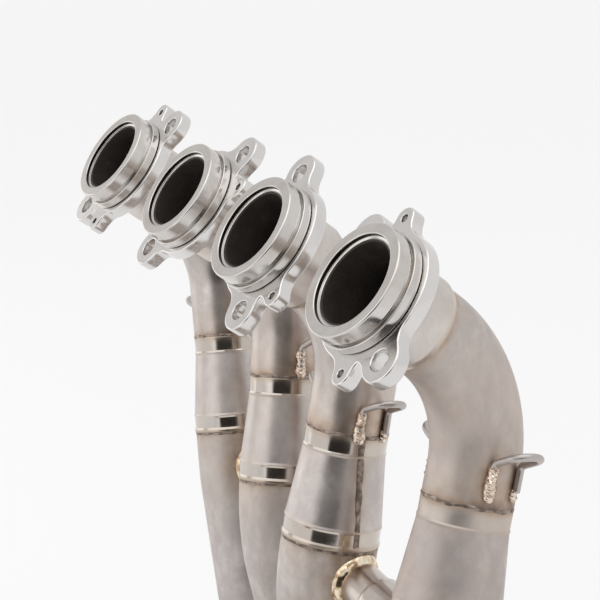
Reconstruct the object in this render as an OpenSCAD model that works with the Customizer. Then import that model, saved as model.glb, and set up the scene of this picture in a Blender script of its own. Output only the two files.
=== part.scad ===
// Four-cylinder race exhaust header, 4-2-1, in millimetres.
// X runs along the port row from cylinder 1 to cylinder 4, Z is up, and the gas leaves towards -Y.
// The origin is the middle of the port row, on the plane of the four inlet mouths.

/* [Port row] */
// Distance between ports 1-2 and between ports 3-4
pitch_outer = 92; // [90:0.5:96]
// Distance between ports 2-3
pitch_inner = 84; // [84:0.5:96]
// Angle of the port axes below horizontal, seen going away from the engine
port_tilt = 37; // [30:0.5:42]

/* [Inlet ring] */
// Bore of the inlet ring at its mouth
mouth_d = 40; // [39.5:0.1:41]
// Outer diameter of the ring that seats in the cylinder head
ring_d = 50; // [48:0.5:52]
// Distance from the mouth plane to the flange's front face
flange_set_back = 12; // [12:0.25:14]

/* [Loose flange] */
// Thickness of the flange plate
flange_t = 6.5; // [6:0.5:8]
// Distance between the two stud holes
stud_spacing = 68; // [66:0.5:70]
// Diameter of the stud holes
stud_hole_d = 9; // [8.5:0.1:9.5]
// Diameter of the two spring holes
spring_hole_d = 3.5; // [3:0.1:4]

/* [Tubes] */
// Outer diameter of the first part of each primary
primary_d = 38; // [38:0.1:38.1]
// Outer diameter of each primary below its step
step_d = 45; // [44:0.5:45]
// Outer diameter of the two secondaries
secondary_d = 50.8; // [50:0.1:50.8]
// Outer diameter of the outlet spigot
outlet_d = 60; // [58:0.5:62]
// Wall of every tube
wall = 1.2; // [1:0.1:1.5]

/* [Hidden] */
$fn = 72;

// Row positions, cylinder 1 first
port_x = [-pitch_inner / 2 - pitch_outer, -pitch_inner / 2, pitch_inner / 2, pitch_inner / 2 + pitch_outer];
// Rest turn of each loose flange about its port axis, and which way round its plate faces
flange_turn = [58, 62.5, 108, 143.5];
flange_hand = [1, -1, 1, -1];

// Each primary: straight neck, bend angle, sideways swing of the bend and straight tail to the weld
neck = [46, 42, 36, 42];
turn = [58, 63, 65, 69];
swing = [21, 15, 5, 8];
tail = [27, 19, 20, 12];
bend_r = 57;

// Rolled step: band, cone, band
band_l = 9;
cone_l = 34;
step_l = 2 * band_l + cone_l;

// Inlet ring, measured from the mouth along the port axis
mouth_l = 2;
seat_step_l = 0.4;
land_l = 6;
groove_l = 1.5;
groove_depth = 1.4;
shoulder_proud = 1;
shoulder_gap = 0.3;
hub_d = primary_d + 3;
hub_end = 38;
hub_taper_l = 3;
tube_seat_gap = 0.05;
edge = 0.6;
// Hairline between a straight length and the bend that it butts against
butt_gap = 0.02;

// Loose flange outline
flange_disc_r = 28.5;
flange_gap = 0.3;
stud_lobe_r = 9.5;
spring_lobe_r = 5;
spring_hole_at = 33.7;
spring_hole_turn = 35.5;
flange_fillet_r = 9;

// Lower tubes: the corners after the step, and the bend radius at each
corner_r = 110;
elbow_r = 68;
leave_l = 26;
waypoints = [
  [[-64, 55, -255], [-50, 52, -350]],
  [[-4, 58, -255], [6, 52, -350]],
  [[58, 42, -255], [62, 44, -350]],
  [[150, 30, -250], [134, 40, -350]]
];
merge_y = -90;
merge_z = -350;
merge_x = [-10, 95];
merge_spacing = 49;
merge_l = 100;
merge_wall = 1.5;
plate_t = 2;
cut_l = 6;

// Secondaries and slip joint
socket_x = [14.5, 70.5];
socket_y = -330;
socket_l = 42;
slip_l = 35;
slip_gap = 0.1;
socket_wall = 1.6;
secondary_r = 120;
final_l = 110;
outlet_wall = 1.5;
outlet_body_d = outlet_d + 1;
outlet_body_l = 50;
spigot_l = 42;

// Crossovers between neighbouring primaries
// Drop below each step, and how far the crossovers stand off the middle of the pipes towards the engine
crossover_drop = [12, 21, 14, 19];
crossover_off = 6;
crossover_d = 22;
crossover_sleeve_d = 25;
crossover_pairs = [[0, 1], [2, 3]];

// Bent-wire hooks and springs
wire_r = 1.6;
// The arms of each hook lean up by hook_tilt from square to the tube
hook_above_weld = [16, 15, 13, 19];
hook_half_w = 7;
hook_leg_l = 9;
hook_reach = 8;
hook_azimuth = 3;
hook_tilt = 24;
hook_corner_r = 3;
post_h = 10;
spring_coil_r = 5;
spring_wire_r = 0.9;
spring_eye_r = 3.6;
spring_l = 54;
slip_post_y = -298;

function unit(v) = v / norm(v);
function axis_away() = [0, cos(port_tilt), -sin(port_tilt)];
function axis_down() = [0, -sin(port_tilt), -cos(port_tilt)];
function bend_side(i) = axis_down() * cos(swing[i]) + [1, 0, 0] * sin(swing[i]);
function leg_dir(i) = axis_away() * cos(turn[i]) + bend_side(i) * sin(turn[i]);
function weld_point(i) = [port_x[i], 0, 0] + axis_away() * (neck[i] + bend_r * sin(turn[i]))
  + bend_side(i) * bend_r * (1 - cos(turn[i])) + leg_dir(i) * tail[i];
function step_end(i) = weld_point(i) + leg_dir(i) * step_l;
function cross_point(i) = step_end(i) + leg_dir(i) * crossover_drop[i] + [0, crossover_off, 0];
function merge_inlet(i) =
  [merge_x[i < 2 ? 0 : 1] + (i % 2 == 0 ? -1 : 1) * merge_spacing / 2, merge_y, merge_z];
// The last point lies inside the merge, because the tube meets it at an angle and is cut off at its face
function tube_end(i) = merge_inlet(i) + unit(merge_inlet(i) - waypoints[i][1]) * cut_l;
function lower_route(i) =
  [step_end(i), step_end(i) + leg_dir(i) * leave_l, waypoints[i][0], waypoints[i][1], tube_end(i)];
function lower_radii(i) = [corner_r, corner_r, elbow_r];
function merge_outlet(k) = [merge_x[k], merge_y - merge_l, merge_z];
function socket_mouth(k) = [socket_x[k], socket_y, merge_z];
function secondary_route(k) = [
  merge_outlet(k), merge_outlet(k) - [0, 40, 0],
  socket_mouth(k) + [0, 40, 0], socket_mouth(k) - [0, slip_l, 0]
];
function corner_angle(p, i) = acos(max(-1, min(1, unit(p[i] - p[i - 1]) * unit(p[i + 1] - p[i]))));
function setback(p, r, i) = (i == 0 || i == len(p) - 1) ? 0 : r[i - 1] * tan(corner_angle(p, i) / 2);

// Places children with local Z along z and local X along x
module frame(o, x, z) {
  y = cross(z, x);
  multmatrix([[x.x, y.x, z.x, o.x], [x.y, y.y, z.y, o.y], [x.z, y.z, z.z, o.z], [0, 0, 0, 1]]) children();
}

// Any unit vector square to z
function square_to(z) = unit(cross(z, abs(z.x) < 0.9 ? [1, 0, 0] : [0, 0, 1]));

module tube(l, d, w) {
  difference() {
    cylinder(h = l, d = d);
    translate([0, 0, -1]) cylinder(h = l + 2, d = d - 2 * w);
  }
}

// Bend from the local origin, heading +Z and turning towards +Y
module elbow(r, angle, d, w) {
  frame([0, r, 0], [0, -1, 0], [-1, 0, 0])
    rotate_extrude(angle = angle) translate([r, 0]) difference() {
      circle(d = d);
      circle(d = d - 2 * w);
    }
}

// Solid rod bend, same placing as elbow
module rod_elbow(r, angle, rod_r) {
  frame([0, r, 0], [0, -1, 0], [-1, 0, 0])
    rotate_extrude(angle = angle, $fn = 48) translate([r, 0]) circle(r = rod_r, $fn = 24);
}

module after_elbow(r, angle) {
  translate([0, r, 0]) rotate([-angle, 0, 0]) translate([0, -r, 0]) children();
}

// Tube through points, with a bend of radius r at each inner point. Children are cut from every length.
module bent_tube(p, r, d, w) {
  for (i = [0:len(p) - 2]) difference() {
    dir = unit(p[i + 1] - p[i]);
    start = p[i] + dir * (setback(p, r, i) + butt_gap);
    l = norm(p[i + 1] - p[i]) - setback(p, r, i) - setback(p, r, i + 1) - 2 * butt_gap;
    frame(start, square_to(dir), dir) tube(l, d, w);
    children();
  }
  for (i = [1:len(p) - 2]) difference() {
    dir = unit(p[i] - p[i - 1]);
    next = unit(p[i + 1] - p[i]);
    side = unit(next - dir * (next * dir));
    frame(p[i] - dir * setback(p, r, i), cross(side, dir), dir) elbow(r[i - 1], corner_angle(p, i), d, w);
    children();
  }
}

// Frame of a port: +Z away from the engine, +X along the row
module port(i) {
  translate([port_x[i], 0, 0]) rotate([-90 - port_tilt, 0, 0]) children();
}

// Frame of the weld below a primary's bend: +Z down the tube
module weld(i) {
  port(i) translate([0, 0, neck[i]]) rotate([0, 0, -swing[i]]) after_elbow(bend_r, turn[i])
    translate([0, 0, tail[i]]) children();
}

module inlet_ring(i) {
  ring_r = ring_d / 2;
  seat_r = primary_d / 2 + tube_seat_gap;
  shoulder_r = ring_r + shoulder_proud;
  hub_r = hub_d / 2;
  shoulder_start = land_l + groove_l;
  shoulder_end = flange_set_back - shoulder_gap;
  color("gainsboro") port(i) rotate_extrude() polygon([
    [mouth_d / 2, edge], [mouth_d / 2 + edge, 0], [ring_r - edge, 0], [ring_r, edge],
    [ring_r, land_l], [ring_r - groove_depth, land_l], [ring_r - groove_depth, shoulder_start],
    [shoulder_r, shoulder_start], [shoulder_r, shoulder_end], [hub_r, shoulder_end],
    [hub_r, hub_end - hub_taper_l], [seat_r + 0.4, hub_end], [seat_r, hub_end],
    [seat_r, mouth_l + seat_step_l], [mouth_d / 2, mouth_l]
  ]);
}

// Outline of one lobe on the X axis, blended into the disc by two round fillets
module lobe(at, tip_r) {
  fy = tip_r + flange_fillet_r;
  fx = sqrt(pow(flange_disc_r + flange_fillet_r, 2) - fy * fy);
  tangent = flange_disc_r / (flange_disc_r + flange_fillet_r);
  translate([at, 0]) circle(r = tip_r);
  difference() {
    union() {
      polygon([[0, 0], [fx * tangent, -fy * tangent], [fx, -fy], [fx, fy], [fx * tangent, fy * tangent]]);
      translate([0, -tip_r]) square([max(at, fx), 2 * tip_r]);
    }
    for (s = [-1, 1]) translate([fx, s * fy]) circle(r = flange_fillet_r);
  }
}

module port_flange(i) {
  stud_at = stud_spacing / 2;
  color("silver") port(i) rotate([0, 0, -flange_turn[i]]) translate([0, 0, flange_set_back])
    difference() {
      linear_extrude(flange_t) difference() {
        union() {
          circle(r = flange_disc_r);
          for (a = [0, 180]) {
            rotate(a) lobe(stud_at, stud_lobe_r);
            rotate(a - flange_hand[i] * spring_hole_turn) lobe(spring_hole_at, spring_lobe_r);
          }
        }
        circle(d = hub_d + 2 * flange_gap);
      }
      for (a = [0, 180]) {
        rotate([0, 0, a]) translate([stud_at, 0, -1]) cylinder(h = flange_t + 2, d = stud_hole_d);
        rotate([0, 0, a - flange_hand[i] * spring_hole_turn]) translate([spring_hole_at, 0, -1])
          cylinder(h = flange_t + 2, d = spring_hole_d, $fn = 36);
      }
    }
}

module primary_bend(i) {
  color("tan") port(i) {
    translate([0, 0, mouth_l + seat_step_l])
      tube(neck[i] - mouth_l - seat_step_l - butt_gap, primary_d, wall);
    translate([0, 0, neck[i]]) rotate([0, 0, -swing[i]]) {
      elbow(bend_r, turn[i], primary_d, wall);
      after_elbow(bend_r, turn[i]) translate([0, 0, butt_gap]) tube(tail[i] - butt_gap, primary_d, wall);
    }
  }
}

module step_cone(i) {
  r1 = primary_d / 2;
  r2 = step_d / 2;
  color("rosybrown") weld(i) rotate_extrude() polygon([
    [r1 - wall, 0], [r1, 0], [r1, band_l], [r2, band_l + cone_l], [r2, step_l],
    [r2 - wall, step_l], [r2 - wall, band_l + cone_l], [r1 - wall, band_l]
  ]);
}

module lower_tube(i) {
  mate = i % 2 == 0 ? i + 1 : i - 1;
  dir = unit(cross_point(mate) - cross_point(i));
  color("tan") bent_tube(lower_route(i), lower_radii(i), step_d, wall) {
    frame(cross_point(i), square_to(dir), dir) cylinder(h = step_d, d = crossover_d - 2 * wall);
    translate([-2 * step_d, -2 * cut_l, -step_d] + merge_inlet(i)) cube([4 * step_d, 2 * cut_l, 2 * step_d]);
  }
}

// U of wire standing out of the primary, with its two legs lying down the tube
module wire_hook() {
  leg_at = sqrt(pow(primary_d / 2 + wire_r, 2) - pow(hook_half_w, 2));
  elbow_l = hook_corner_r * tan((90 - hook_tilt) / 2);
  for (s = [-1, 1]) translate([leg_at, s * hook_half_w, 0]) {
    translate([0, 0, elbow_l]) cylinder(h = hook_leg_l, r = wire_r, $fn = 24);
    translate([0, 0, elbow_l]) rotate([180, 0, 90]) rod_elbow(hook_corner_r, 90 - hook_tilt, wire_r);
    rotate([0, 90 + hook_tilt, 0]) translate([0, 0, elbow_l + butt_gap])
      cylinder(h = hook_reach - elbow_l - 2 * butt_gap, r = wire_r, $fn = 24);
  }
  translate([leg_at, 0, 0]) rotate([0, hook_tilt, 0]) translate([hook_reach, 0, 0]) rotate([0, 0, -90])
    rotate_extrude(angle = 180, $fn = 48) translate([hook_half_w, 0]) circle(r = wire_r, $fn = 24);
}

module spring_hooks(i) {
  color("darkgray") weld(i) translate([0, 0, -hook_above_weld[i]]) {
    rotate([0, 0, -hook_azimuth]) wire_hook();
    rotate([0, 0, 180 + hook_azimuth]) wire_hook();
  }
}

// Bodies used to shape the ends of a crossover on the tubes that it joins
module lower_core(i, d) {
  frame(step_end(i), square_to(leg_dir(i)), leg_dir(i)) cylinder(h = leave_l + step_l, d = d);
}

module crossover_span(k, d, from_share, to_share) {
  a = cross_point(crossover_pairs[k][0]);
  b = cross_point(crossover_pairs[k][1]);
  dir = unit(b - a);
  l = norm(b - a);
  frame(a + dir * l * from_share, square_to(dir), dir) cylinder(h = l * (to_share - from_share), d = d);
}

module crossover_tube(k) {
  color("silver") difference() {
    crossover_span(k, crossover_d, 0, 0.62);
    crossover_span(k, crossover_d - 2 * wall, -0.1, 0.7);
    lower_core(crossover_pairs[k][0], step_d);
  }
}

module crossover_sleeve(k) {
  color("lightgray") difference() {
    crossover_span(k, crossover_sleeve_d, 0.42, 1);
    crossover_span(k, crossover_d + 0.2, 0.3, 0.65);
    crossover_span(k, crossover_d - 2 * wall, 0.6, 1.1);
    lower_core(crossover_pairs[k][1], step_d);
  }
}

module disc_at(x, y, r, t) {
  translate([x, y, merge_z]) rotate([90, 0, 0]) cylinder(h = t, r = r, $fn = 48);
}

// Two inlets side by side running into one outlet, shell only
module merge_shell(x, y, spacing, in_r, out_r, l, w) {
  difference() {
    hull() {
      for (s = [-1, 1]) disc_at(x + s * spacing / 2, y, in_r, 8);
      disc_at(x, y - l + 8, out_r, 8);
    }
    hull() {
      for (s = [-1, 1]) disc_at(x + s * spacing / 2, y - plate_t, in_r - w, 7);
      disc_at(x, y - l + 8, out_r - w, 9);
    }
    for (s = [-1, 1]) translate([x + s * spacing / 2, y + 1, merge_z]) rotate([90, 0, 0])
      cylinder(h = plate_t + 2, r = in_r - 2 * w);
  }
}

module merge(k) {
  color("silver") merge_shell(merge_x[k], merge_y, merge_spacing, step_d / 2 + 0.8,
    secondary_d / 2, merge_l, merge_wall);
}

module secondary(k) {
  color("tan") bent_tube(secondary_route(k), [secondary_r, secondary_r], secondary_d, wall);
}

module slip_socket(k) {
  bore_d = secondary_d + 2 * slip_gap;
  color("silver") translate(socket_mouth(k)) rotate([90, 0, 0]) rotate_extrude() polygon([
    [bore_d / 2, 0], [bore_d / 2 + socket_wall, 0], [bore_d / 2 + socket_wall, socket_l],
    [bore_d / 2 - 3, socket_l], [bore_d / 2 - 3, socket_l - 2], [bore_d / 2, socket_l - 4]
  ]);
}

// Post standing on a tube of diameter d at height z0, leaning over at its top away from the spring
module wire_post(away) {
  cylinder(h = post_h, r = wire_r, $fn = 24);
  translate([0, 0, post_h]) rotate([0, 0, away > 0 ? 0 : 180]) {
    rod_elbow(hook_corner_r, 90, wire_r);
    after_elbow(hook_corner_r, 90) cylinder(h = 3, r = wire_r, $fn = 24);
  }
}

module post_pair(x, y, d, away) {
  for (s = [0, 180]) translate([x, y, merge_z]) rotate([0, s, 0]) translate([0, 0, d / 2]) wire_post(away);
}

module slip_hooks(k) {
  color("darkgray") post_pair(socket_x[k], slip_post_y, secondary_d, 1);
}

module socket_hooks() {
  color("darkgray") for (k = [0, 1])
    post_pair(socket_x[k], slip_post_y - spring_l, secondary_d + 2 * (slip_gap + socket_wall), -1);
}

// Closed-wound extension spring along -Y with a round eye over a post at each end
module slip_spring() {
  translate([0, -spring_eye_r, 0]) rotate([90, 0, 0])
    cylinder(h = spring_l - 2 * spring_eye_r, r = spring_coil_r);
  for (y = [0, -spring_l]) translate([0, y, 0])
    rotate_extrude($fn = 48) translate([spring_eye_r, 0]) circle(r = spring_wire_r, $fn = 24);
}

module slip_springs(k) {
  color("dimgray") for (s = [0, 180]) translate([socket_x[k], slip_post_y, merge_z]) rotate([0, s, 0])
    translate([0, 0, secondary_d / 2 + post_h - 3]) slip_spring();
}

final_x = (socket_x[0] + socket_x[1]) / 2;
final_y = socket_y - socket_l;
outlet_y = final_y - final_l;

module final_collector() {
  color("silver") merge_shell(final_x, final_y, socket_x[1] - socket_x[0],
    secondary_d / 2 + slip_gap + socket_wall, outlet_body_d / 2, final_l, merge_wall);
}

// Body with the boss and the tab on it, then a spigot that the next pipe slides over
module outlet_pipe() {
  r = outlet_d / 2;
  end = outlet_body_l + spigot_l;
  color("silver") translate([final_x, outlet_y, merge_z]) rotate([90, 0, 0]) rotate_extrude() polygon([
    [r - outlet_wall, 0], [outlet_body_d / 2, 0], [outlet_body_d / 2, outlet_body_l], [r, outlet_body_l],
    [r, end], [r - outlet_wall, end]
  ]);
}

module outlet_hooks() {
  color("darkgray") for (s = [90, 270]) translate([final_x, outlet_y - 12, merge_z]) rotate([0, s, 0])
    translate([0, 0, outlet_body_d / 2]) wire_post(1);
}

boss_d = 24;
boss_h = 10;
thread_d = 18;
thread_gap = 0.05;
washer_t = 1.5;
boss_at = [final_x, outlet_y - 34, merge_z];

module sensor_boss() {
  color("gainsboro") translate(boss_at) difference() {
    translate([0, 0, outlet_body_d / 2 - 2]) cylinder(h = boss_h + 2, d = boss_d);
    cylinder(h = outlet_d, d = thread_d + 2 * thread_gap);
    rotate([90, 0, 0]) translate([0, 0, -boss_d]) cylinder(h = 2 * boss_d, d = outlet_body_d);
  }
}

module plug_washer() {
  color("peru") translate(boss_at + [0, 0, outlet_body_d / 2 + boss_h])
    tube(washer_t, boss_d - 1, (boss_d - 1 - thread_d) / 2 - 2 * thread_gap);
}

module sensor_plug() {
  color("silver") translate(boss_at + [0, 0, outlet_body_d / 2 + boss_h + washer_t]) {
    difference() {
      union() {
        cylinder(h = 3, d = boss_d);
        translate([0, 0, 3]) cylinder(h = 6, d = 19 / cos(30), $fn = 6);
      }
      translate([0, 0, 5]) cylinder(h = 5, d = 8, $fn = 6);
    }
    translate([0, 0, -8]) cylinder(h = 8, d = thread_d);
  }
}

tab_w = 24;
tab_t = 4;
tab_out = 20;
tab_hole_d = 8.5;
tab_x = final_x + outlet_body_d / 2;

module hanger_tab() {
  color("silver") translate([tab_x, outlet_y - 34, merge_z]) difference() {
    union() {
      translate([-1, -tab_w / 2, -tab_t / 2]) cube([tab_out + 1, tab_w, tab_t]);
      translate([tab_out, 0, -tab_t / 2]) cylinder(h = tab_t, d = tab_w);
    }
    translate([tab_out, 0, -tab_t]) cylinder(h = 2 * tab_t, d = tab_hole_d);
    translate([-outlet_body_d / 2, tab_w, 0]) rotate([90, 0, 0]) cylinder(h = 2 * tab_w, d = outlet_body_d);
  }
}

inlet_ring(0);  // inlet_ring_1
inlet_ring(1);  // inlet_ring_2
inlet_ring(2);  // inlet_ring_3
inlet_ring(3);  // inlet_ring_4
port_flange(0);  // port_flange_1
port_flange(1);  // port_flange_2
port_flange(2);  // port_flange_3
port_flange(3);  // port_flange_4
primary_bend(0);  // primary_bend_1
primary_bend(1);  // primary_bend_2
primary_bend(2);  // primary_bend_3
primary_bend(3);  // primary_bend_4
step_cone(0);  // step_cone_1
step_cone(1);  // step_cone_2
step_cone(2);  // step_cone_3
step_cone(3);  // step_cone_4
lower_tube(0);  // lower_tube_1
lower_tube(1);  // lower_tube_2
lower_tube(2);  // lower_tube_3
lower_tube(3);  // lower_tube_4
spring_hooks(0);  // spring_hooks_1
spring_hooks(1);  // spring_hooks_2
spring_hooks(2);  // spring_hooks_3
spring_hooks(3);  // spring_hooks_4
crossover_tube(0);  // crossover_tube_12
crossover_tube(1);  // crossover_tube_34
crossover_sleeve(0);  // crossover_sleeve_12
crossover_sleeve(1);  // crossover_sleeve_34
merge(0);  // merge_12
merge(1);  // merge_34
secondary(0);  // secondary_12
secondary(1);  // secondary_34
slip_hooks(0);  // slip_hooks_12
slip_hooks(1);  // slip_hooks_34
slip_socket(0);  // slip_socket_12
slip_socket(1);  // slip_socket_34
socket_hooks();
slip_springs(0);  // slip_springs_12
slip_springs(1);  // slip_springs_34
final_collector();
outlet_pipe();
outlet_hooks();
sensor_boss();
plug_washer();
sensor_plug();
hanger_tab();
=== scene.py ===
import math

import bmesh
import bpy
import numpy as np
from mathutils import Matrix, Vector
from mathutils.geometry import delaunay_2d_cdt


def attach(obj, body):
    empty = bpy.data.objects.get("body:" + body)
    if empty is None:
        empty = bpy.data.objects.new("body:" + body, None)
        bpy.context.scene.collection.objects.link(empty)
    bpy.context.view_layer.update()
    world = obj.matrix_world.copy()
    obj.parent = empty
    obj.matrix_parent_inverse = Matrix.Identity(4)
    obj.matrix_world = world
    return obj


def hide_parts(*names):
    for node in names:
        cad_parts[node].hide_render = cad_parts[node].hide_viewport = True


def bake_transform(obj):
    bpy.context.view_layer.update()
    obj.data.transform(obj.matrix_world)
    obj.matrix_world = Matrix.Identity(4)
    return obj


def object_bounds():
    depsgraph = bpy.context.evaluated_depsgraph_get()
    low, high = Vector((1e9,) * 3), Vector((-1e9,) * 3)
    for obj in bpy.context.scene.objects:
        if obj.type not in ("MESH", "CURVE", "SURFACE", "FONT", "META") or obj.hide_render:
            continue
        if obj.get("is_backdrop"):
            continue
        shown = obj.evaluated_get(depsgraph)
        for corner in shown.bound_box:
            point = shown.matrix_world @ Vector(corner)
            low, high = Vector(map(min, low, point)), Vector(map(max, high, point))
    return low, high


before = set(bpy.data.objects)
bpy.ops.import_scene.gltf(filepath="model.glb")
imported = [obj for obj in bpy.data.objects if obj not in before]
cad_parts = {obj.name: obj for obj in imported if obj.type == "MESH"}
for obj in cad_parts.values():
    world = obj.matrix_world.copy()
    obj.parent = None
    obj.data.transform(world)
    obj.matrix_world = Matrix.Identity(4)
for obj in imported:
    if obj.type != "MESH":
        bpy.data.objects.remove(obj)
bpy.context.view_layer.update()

# -------------------------------- sizes, in millimetres, as in the CAD part
MM = 0.001
PORT_X = (-134, -42, 42, 134)
PORT_TILT = math.radians(37)
MOUTH_R = 20
MOUTH_L = 2
RING_R = 25
LAND_L = 6
GROOVE_L = 1.5
GROOVE_DEPTH = 1.4
SHOULDER_R = 26
SHOULDER_END = 11.7
HUB_R = 20.5
HUB_END = 38
TUBE_START = 2.4
FLANGE_AT = 12
FLANGE_T = 6.5
FLANGE_BORE_R = 20.8
FLANGE_TURN = (58, 62.5, 108, 143.5)
FLANGE_HAND = (1, -1, 1, -1)
STUD_AT = 34
STUD_HOLE_R = 4.5
SPRING_HOLE_AT = 33.7
SPRING_HOLE_R = 1.75
SPRING_HOLE_TURN = 35.5
FLANGE_DISC_R = 28.5
LOBE_FILLET_R = 9
STUD_LOBE_R = 9.5
SPRING_LOBE_R = 5
# Each primary: straight length before its bend, bend angle, lean of the bend along the row, length after it
NECK = (46, 42, 36, 42)
TURN = (58, 63, 65, 69)
SWING = (21, 15, 5, 8)
TAIL = (27, 19, 20, 12)
BEND_R = 57
TUBE_R = 19
STEP_R = 22.5
WALL = 1.2
BRIGHT_RIM = 0.35
BAND_L = 9
CONE_L = 34
STEP_L = 2 * BAND_L + CONE_L
CORNER_R = 110
ELBOW_R = 68
LEAVE_L = 26
WAYPOINTS = (
    ((-64, 55, -255), (-50, 52, -350)),
    ((-4, 58, -255), (6, 52, -350)),
    ((58, 42, -255), (62, 44, -350)),
    ((150, 30, -250), (134, 40, -350)),
)
MERGE_X = (-10, 95)
MERGE_Y = -90
MERGE_Z = -350
MERGE_SPACING = 49
MERGE_L = 100
MERGE_IN_R = STEP_R + 0.8
MERGE_WALL = 1.5
MERGE_PLATE_T = 2.0
MERGE_WEB = 9.0
SECONDARY_R = 25.4
SECONDARY_BEND_R = 120
SOCKET_X = (14.5, 70.5)
SOCKET_Y = -330
SOCKET_L = 42
SLIP_L = 35
SOCKET_R = 27.1
SOCKET_WALL = 1.6
FINAL_X = 42.5
FINAL_L = 110
OUTLET_R = 30
OUTLET_BODY_R = 30.5
OUTLET_BODY_L = 50
OUTLET_WALL = 1.5
OUTLET_POSTS_AT = 12
SPIGOT_L = 42
SENSOR_AT = 34
BOSS_R = 12
BOSS_H = 10
BOSS_BORE_R = 9.05
WASHER_T = 1.5
TAB_W = 24
TAB_T = 4
TAB_OUT = 20
TAB_HOLE_R = 4.25
CROSSOVER_DROP = (12, 21, 14, 19)
CROSSOVER_OFF = 6
CROSSOVER_R = 11
CROSSOVER_SLEEVE_R = 12.5
CROSSOVER_SLEEVE_WALL = 1.4
CROSSOVER_SHARE = 0.62
SLEEVE_SHARE = 0.58
WIRE_R = 1.6
HOOK_ABOVE_WELD = (16, 15, 13, 19)
HOOK_HALF_W = 7
HOOK_AZIMUTH = 3
HOOK_LEAN = math.radians(24)
HOOK_OUT = 15
HOOK_LEG_L = 10.95
POST_H = 10
POST_BEND_R = 3
POST_REACH = 6
POST_ROOT = 1.2
SLIP_POST_Y = -298
SPRING_L = 54
SPRING_EYE_R = 3.6
SPRING_COIL_R = 4.1
SPRING_WIRE_R = 0.9
SPRING_COIL_PITCH = 1.86
PAIR = ("pair_12", "pair_12", "pair_34", "pair_34")

# Weld beads: half width, height, pitch of the ripples, sides of the section, depth of the ripples, unevenness
HOOK_BEAD = (2.5, 2.75, 2.6, 20, 0.36, 0.2)
LIGHT_HOOK_BEAD = (1.9, 1.7, 2.2, 16, 0.28, 0.2)
CROSSOVER_BEAD = (3.7, 1.8, 4.4, 18, 0.06, 0.05)
FIRST_BEAD = (0.8, 0.24, 3.7, 12, 0.05, 0.5)
SECOND_BEAD = (0.7, 0.2, 4.3, 12, 0.05, 0.5)
CONE_BEAD = (1.45, 0.13, 5.0, 12, 0.05, 0.25)
MERGE_END_BEAD = (1.8, 1.0, 1.9, 14, 0.3, 0.12)
VALLEY_BEAD = (2.4, 1.2, 2.1, 14, 0.3, 0.12)
MERGE_OUT_BEAD = (1.7, 0.9, 1.9, 14, 0.3, 0.12)
POST_BEAD = (1.25, 0.95, 1.5, 12, 0.3, 0.12)
BOSS_BEAD = (2.5, 1.5, 2.1, 16, 0.34, 0.12)
TAB_BEAD = (1.9, 1.3, 1.9, 14, 0.34, 0.12)

AWAY = Vector((0, math.cos(PORT_TILT), -math.sin(PORT_TILT)))
DOWN = Vector((0, -math.sin(PORT_TILT), -math.cos(PORT_TILT)))
ROW = Vector((1, 0, 0))


# -------------------------------- routes: centrelines with a frame that doesn't twist
class Route:
    """Straight lengths and arcs through corner points. All sizes in millimetres."""

    def __init__(self, points, radii, side):
        points = [Vector(p) for p in points]
        self.pieces = []
        heading = (points[1] - points[0]).normalized()
        x = (Vector(side) - heading * Vector(side).dot(heading)).normalized()
        here = points[0].copy()
        self.length = 0
        for i in range(1, len(points)):
            last = i == len(points) - 1
            turn, setback = 0, 0
            if not last:
                following = (points[i + 1] - points[i]).normalized()
                turn = heading.angle(following)
                setback = radii[i - 1] * math.tan(turn / 2)
            length = (points[i] - here).dot(heading) - setback
            self._add(here, x, heading, length, None)
            here = here + heading * length
            if turn > 1e-6:
                toward = (following - heading * following.dot(heading)).normalized()
                self._add(here, x, heading, radii[i - 1] * turn, (radii[i - 1], toward))
                here, x, heading = self.at(self.length)

    def _add(self, origin, x, heading, length, arc):
        self.pieces.append((self.length, origin.copy(), x.copy(), heading.copy(), length, arc))
        self.length += length

    def at(self, s):
        """Origin, side vector and heading at arc length s."""
        piece = self.pieces[0]
        for candidate in self.pieces:
            if s >= candidate[0] - 1e-9:
                piece = candidate
        start, origin, x, heading, _, arc = piece
        d = s - start
        if arc is None:
            return origin + heading * d, x, heading
        radius, toward = arc
        angle = d / radius
        axis = heading.cross(toward)
        centre = origin + toward * radius
        arm = -toward * math.cos(angle) + heading * math.sin(angle)
        new_heading = heading * math.cos(angle) + toward * math.sin(angle)
        new_x = axis * x.dot(axis) + new_heading * x.dot(heading) + -arm * x.dot(toward)
        return centre + arm * radius, new_x, new_heading

    def frames(self, stations):
        """Arrays of origins, x, y and heading vectors at many arc lengths."""
        rows = [self.at(s) for s in stations]
        origin = np.array([r[0] for r in rows])
        x = np.array([r[1] for r in rows])
        t = np.array([r[2] for r in rows])
        return origin, x, np.cross(t, x), t

    def point(self, s, angle=0.0, radius=0.0):
        """A point at arc length s, and the direction out of the centreline at that angle."""
        origin, x, heading = self.at(s)
        out = x * math.cos(angle) + heading.cross(x) * math.sin(angle)
        return origin + out * radius, out, heading


def straight(start, end, side):
    return Route([start, end], [], side)


# -------------------------------- meshes
def linked(name, data):
    obj = bpy.data.objects.new(name, data)
    bpy.context.scene.collection.objects.link(obj)
    return obj


def point_layers(tint, **vectors):
    """Mesh layers that the materials read: vectors by name, and the tint, which holds heat colour and, on the
    primaries, painted shade beside the hooks.
    """
    return [*((key, "FLOAT_VECTOR", values) for key, values in vectors.items()), ("tint", "FLOAT", tint)]


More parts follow.
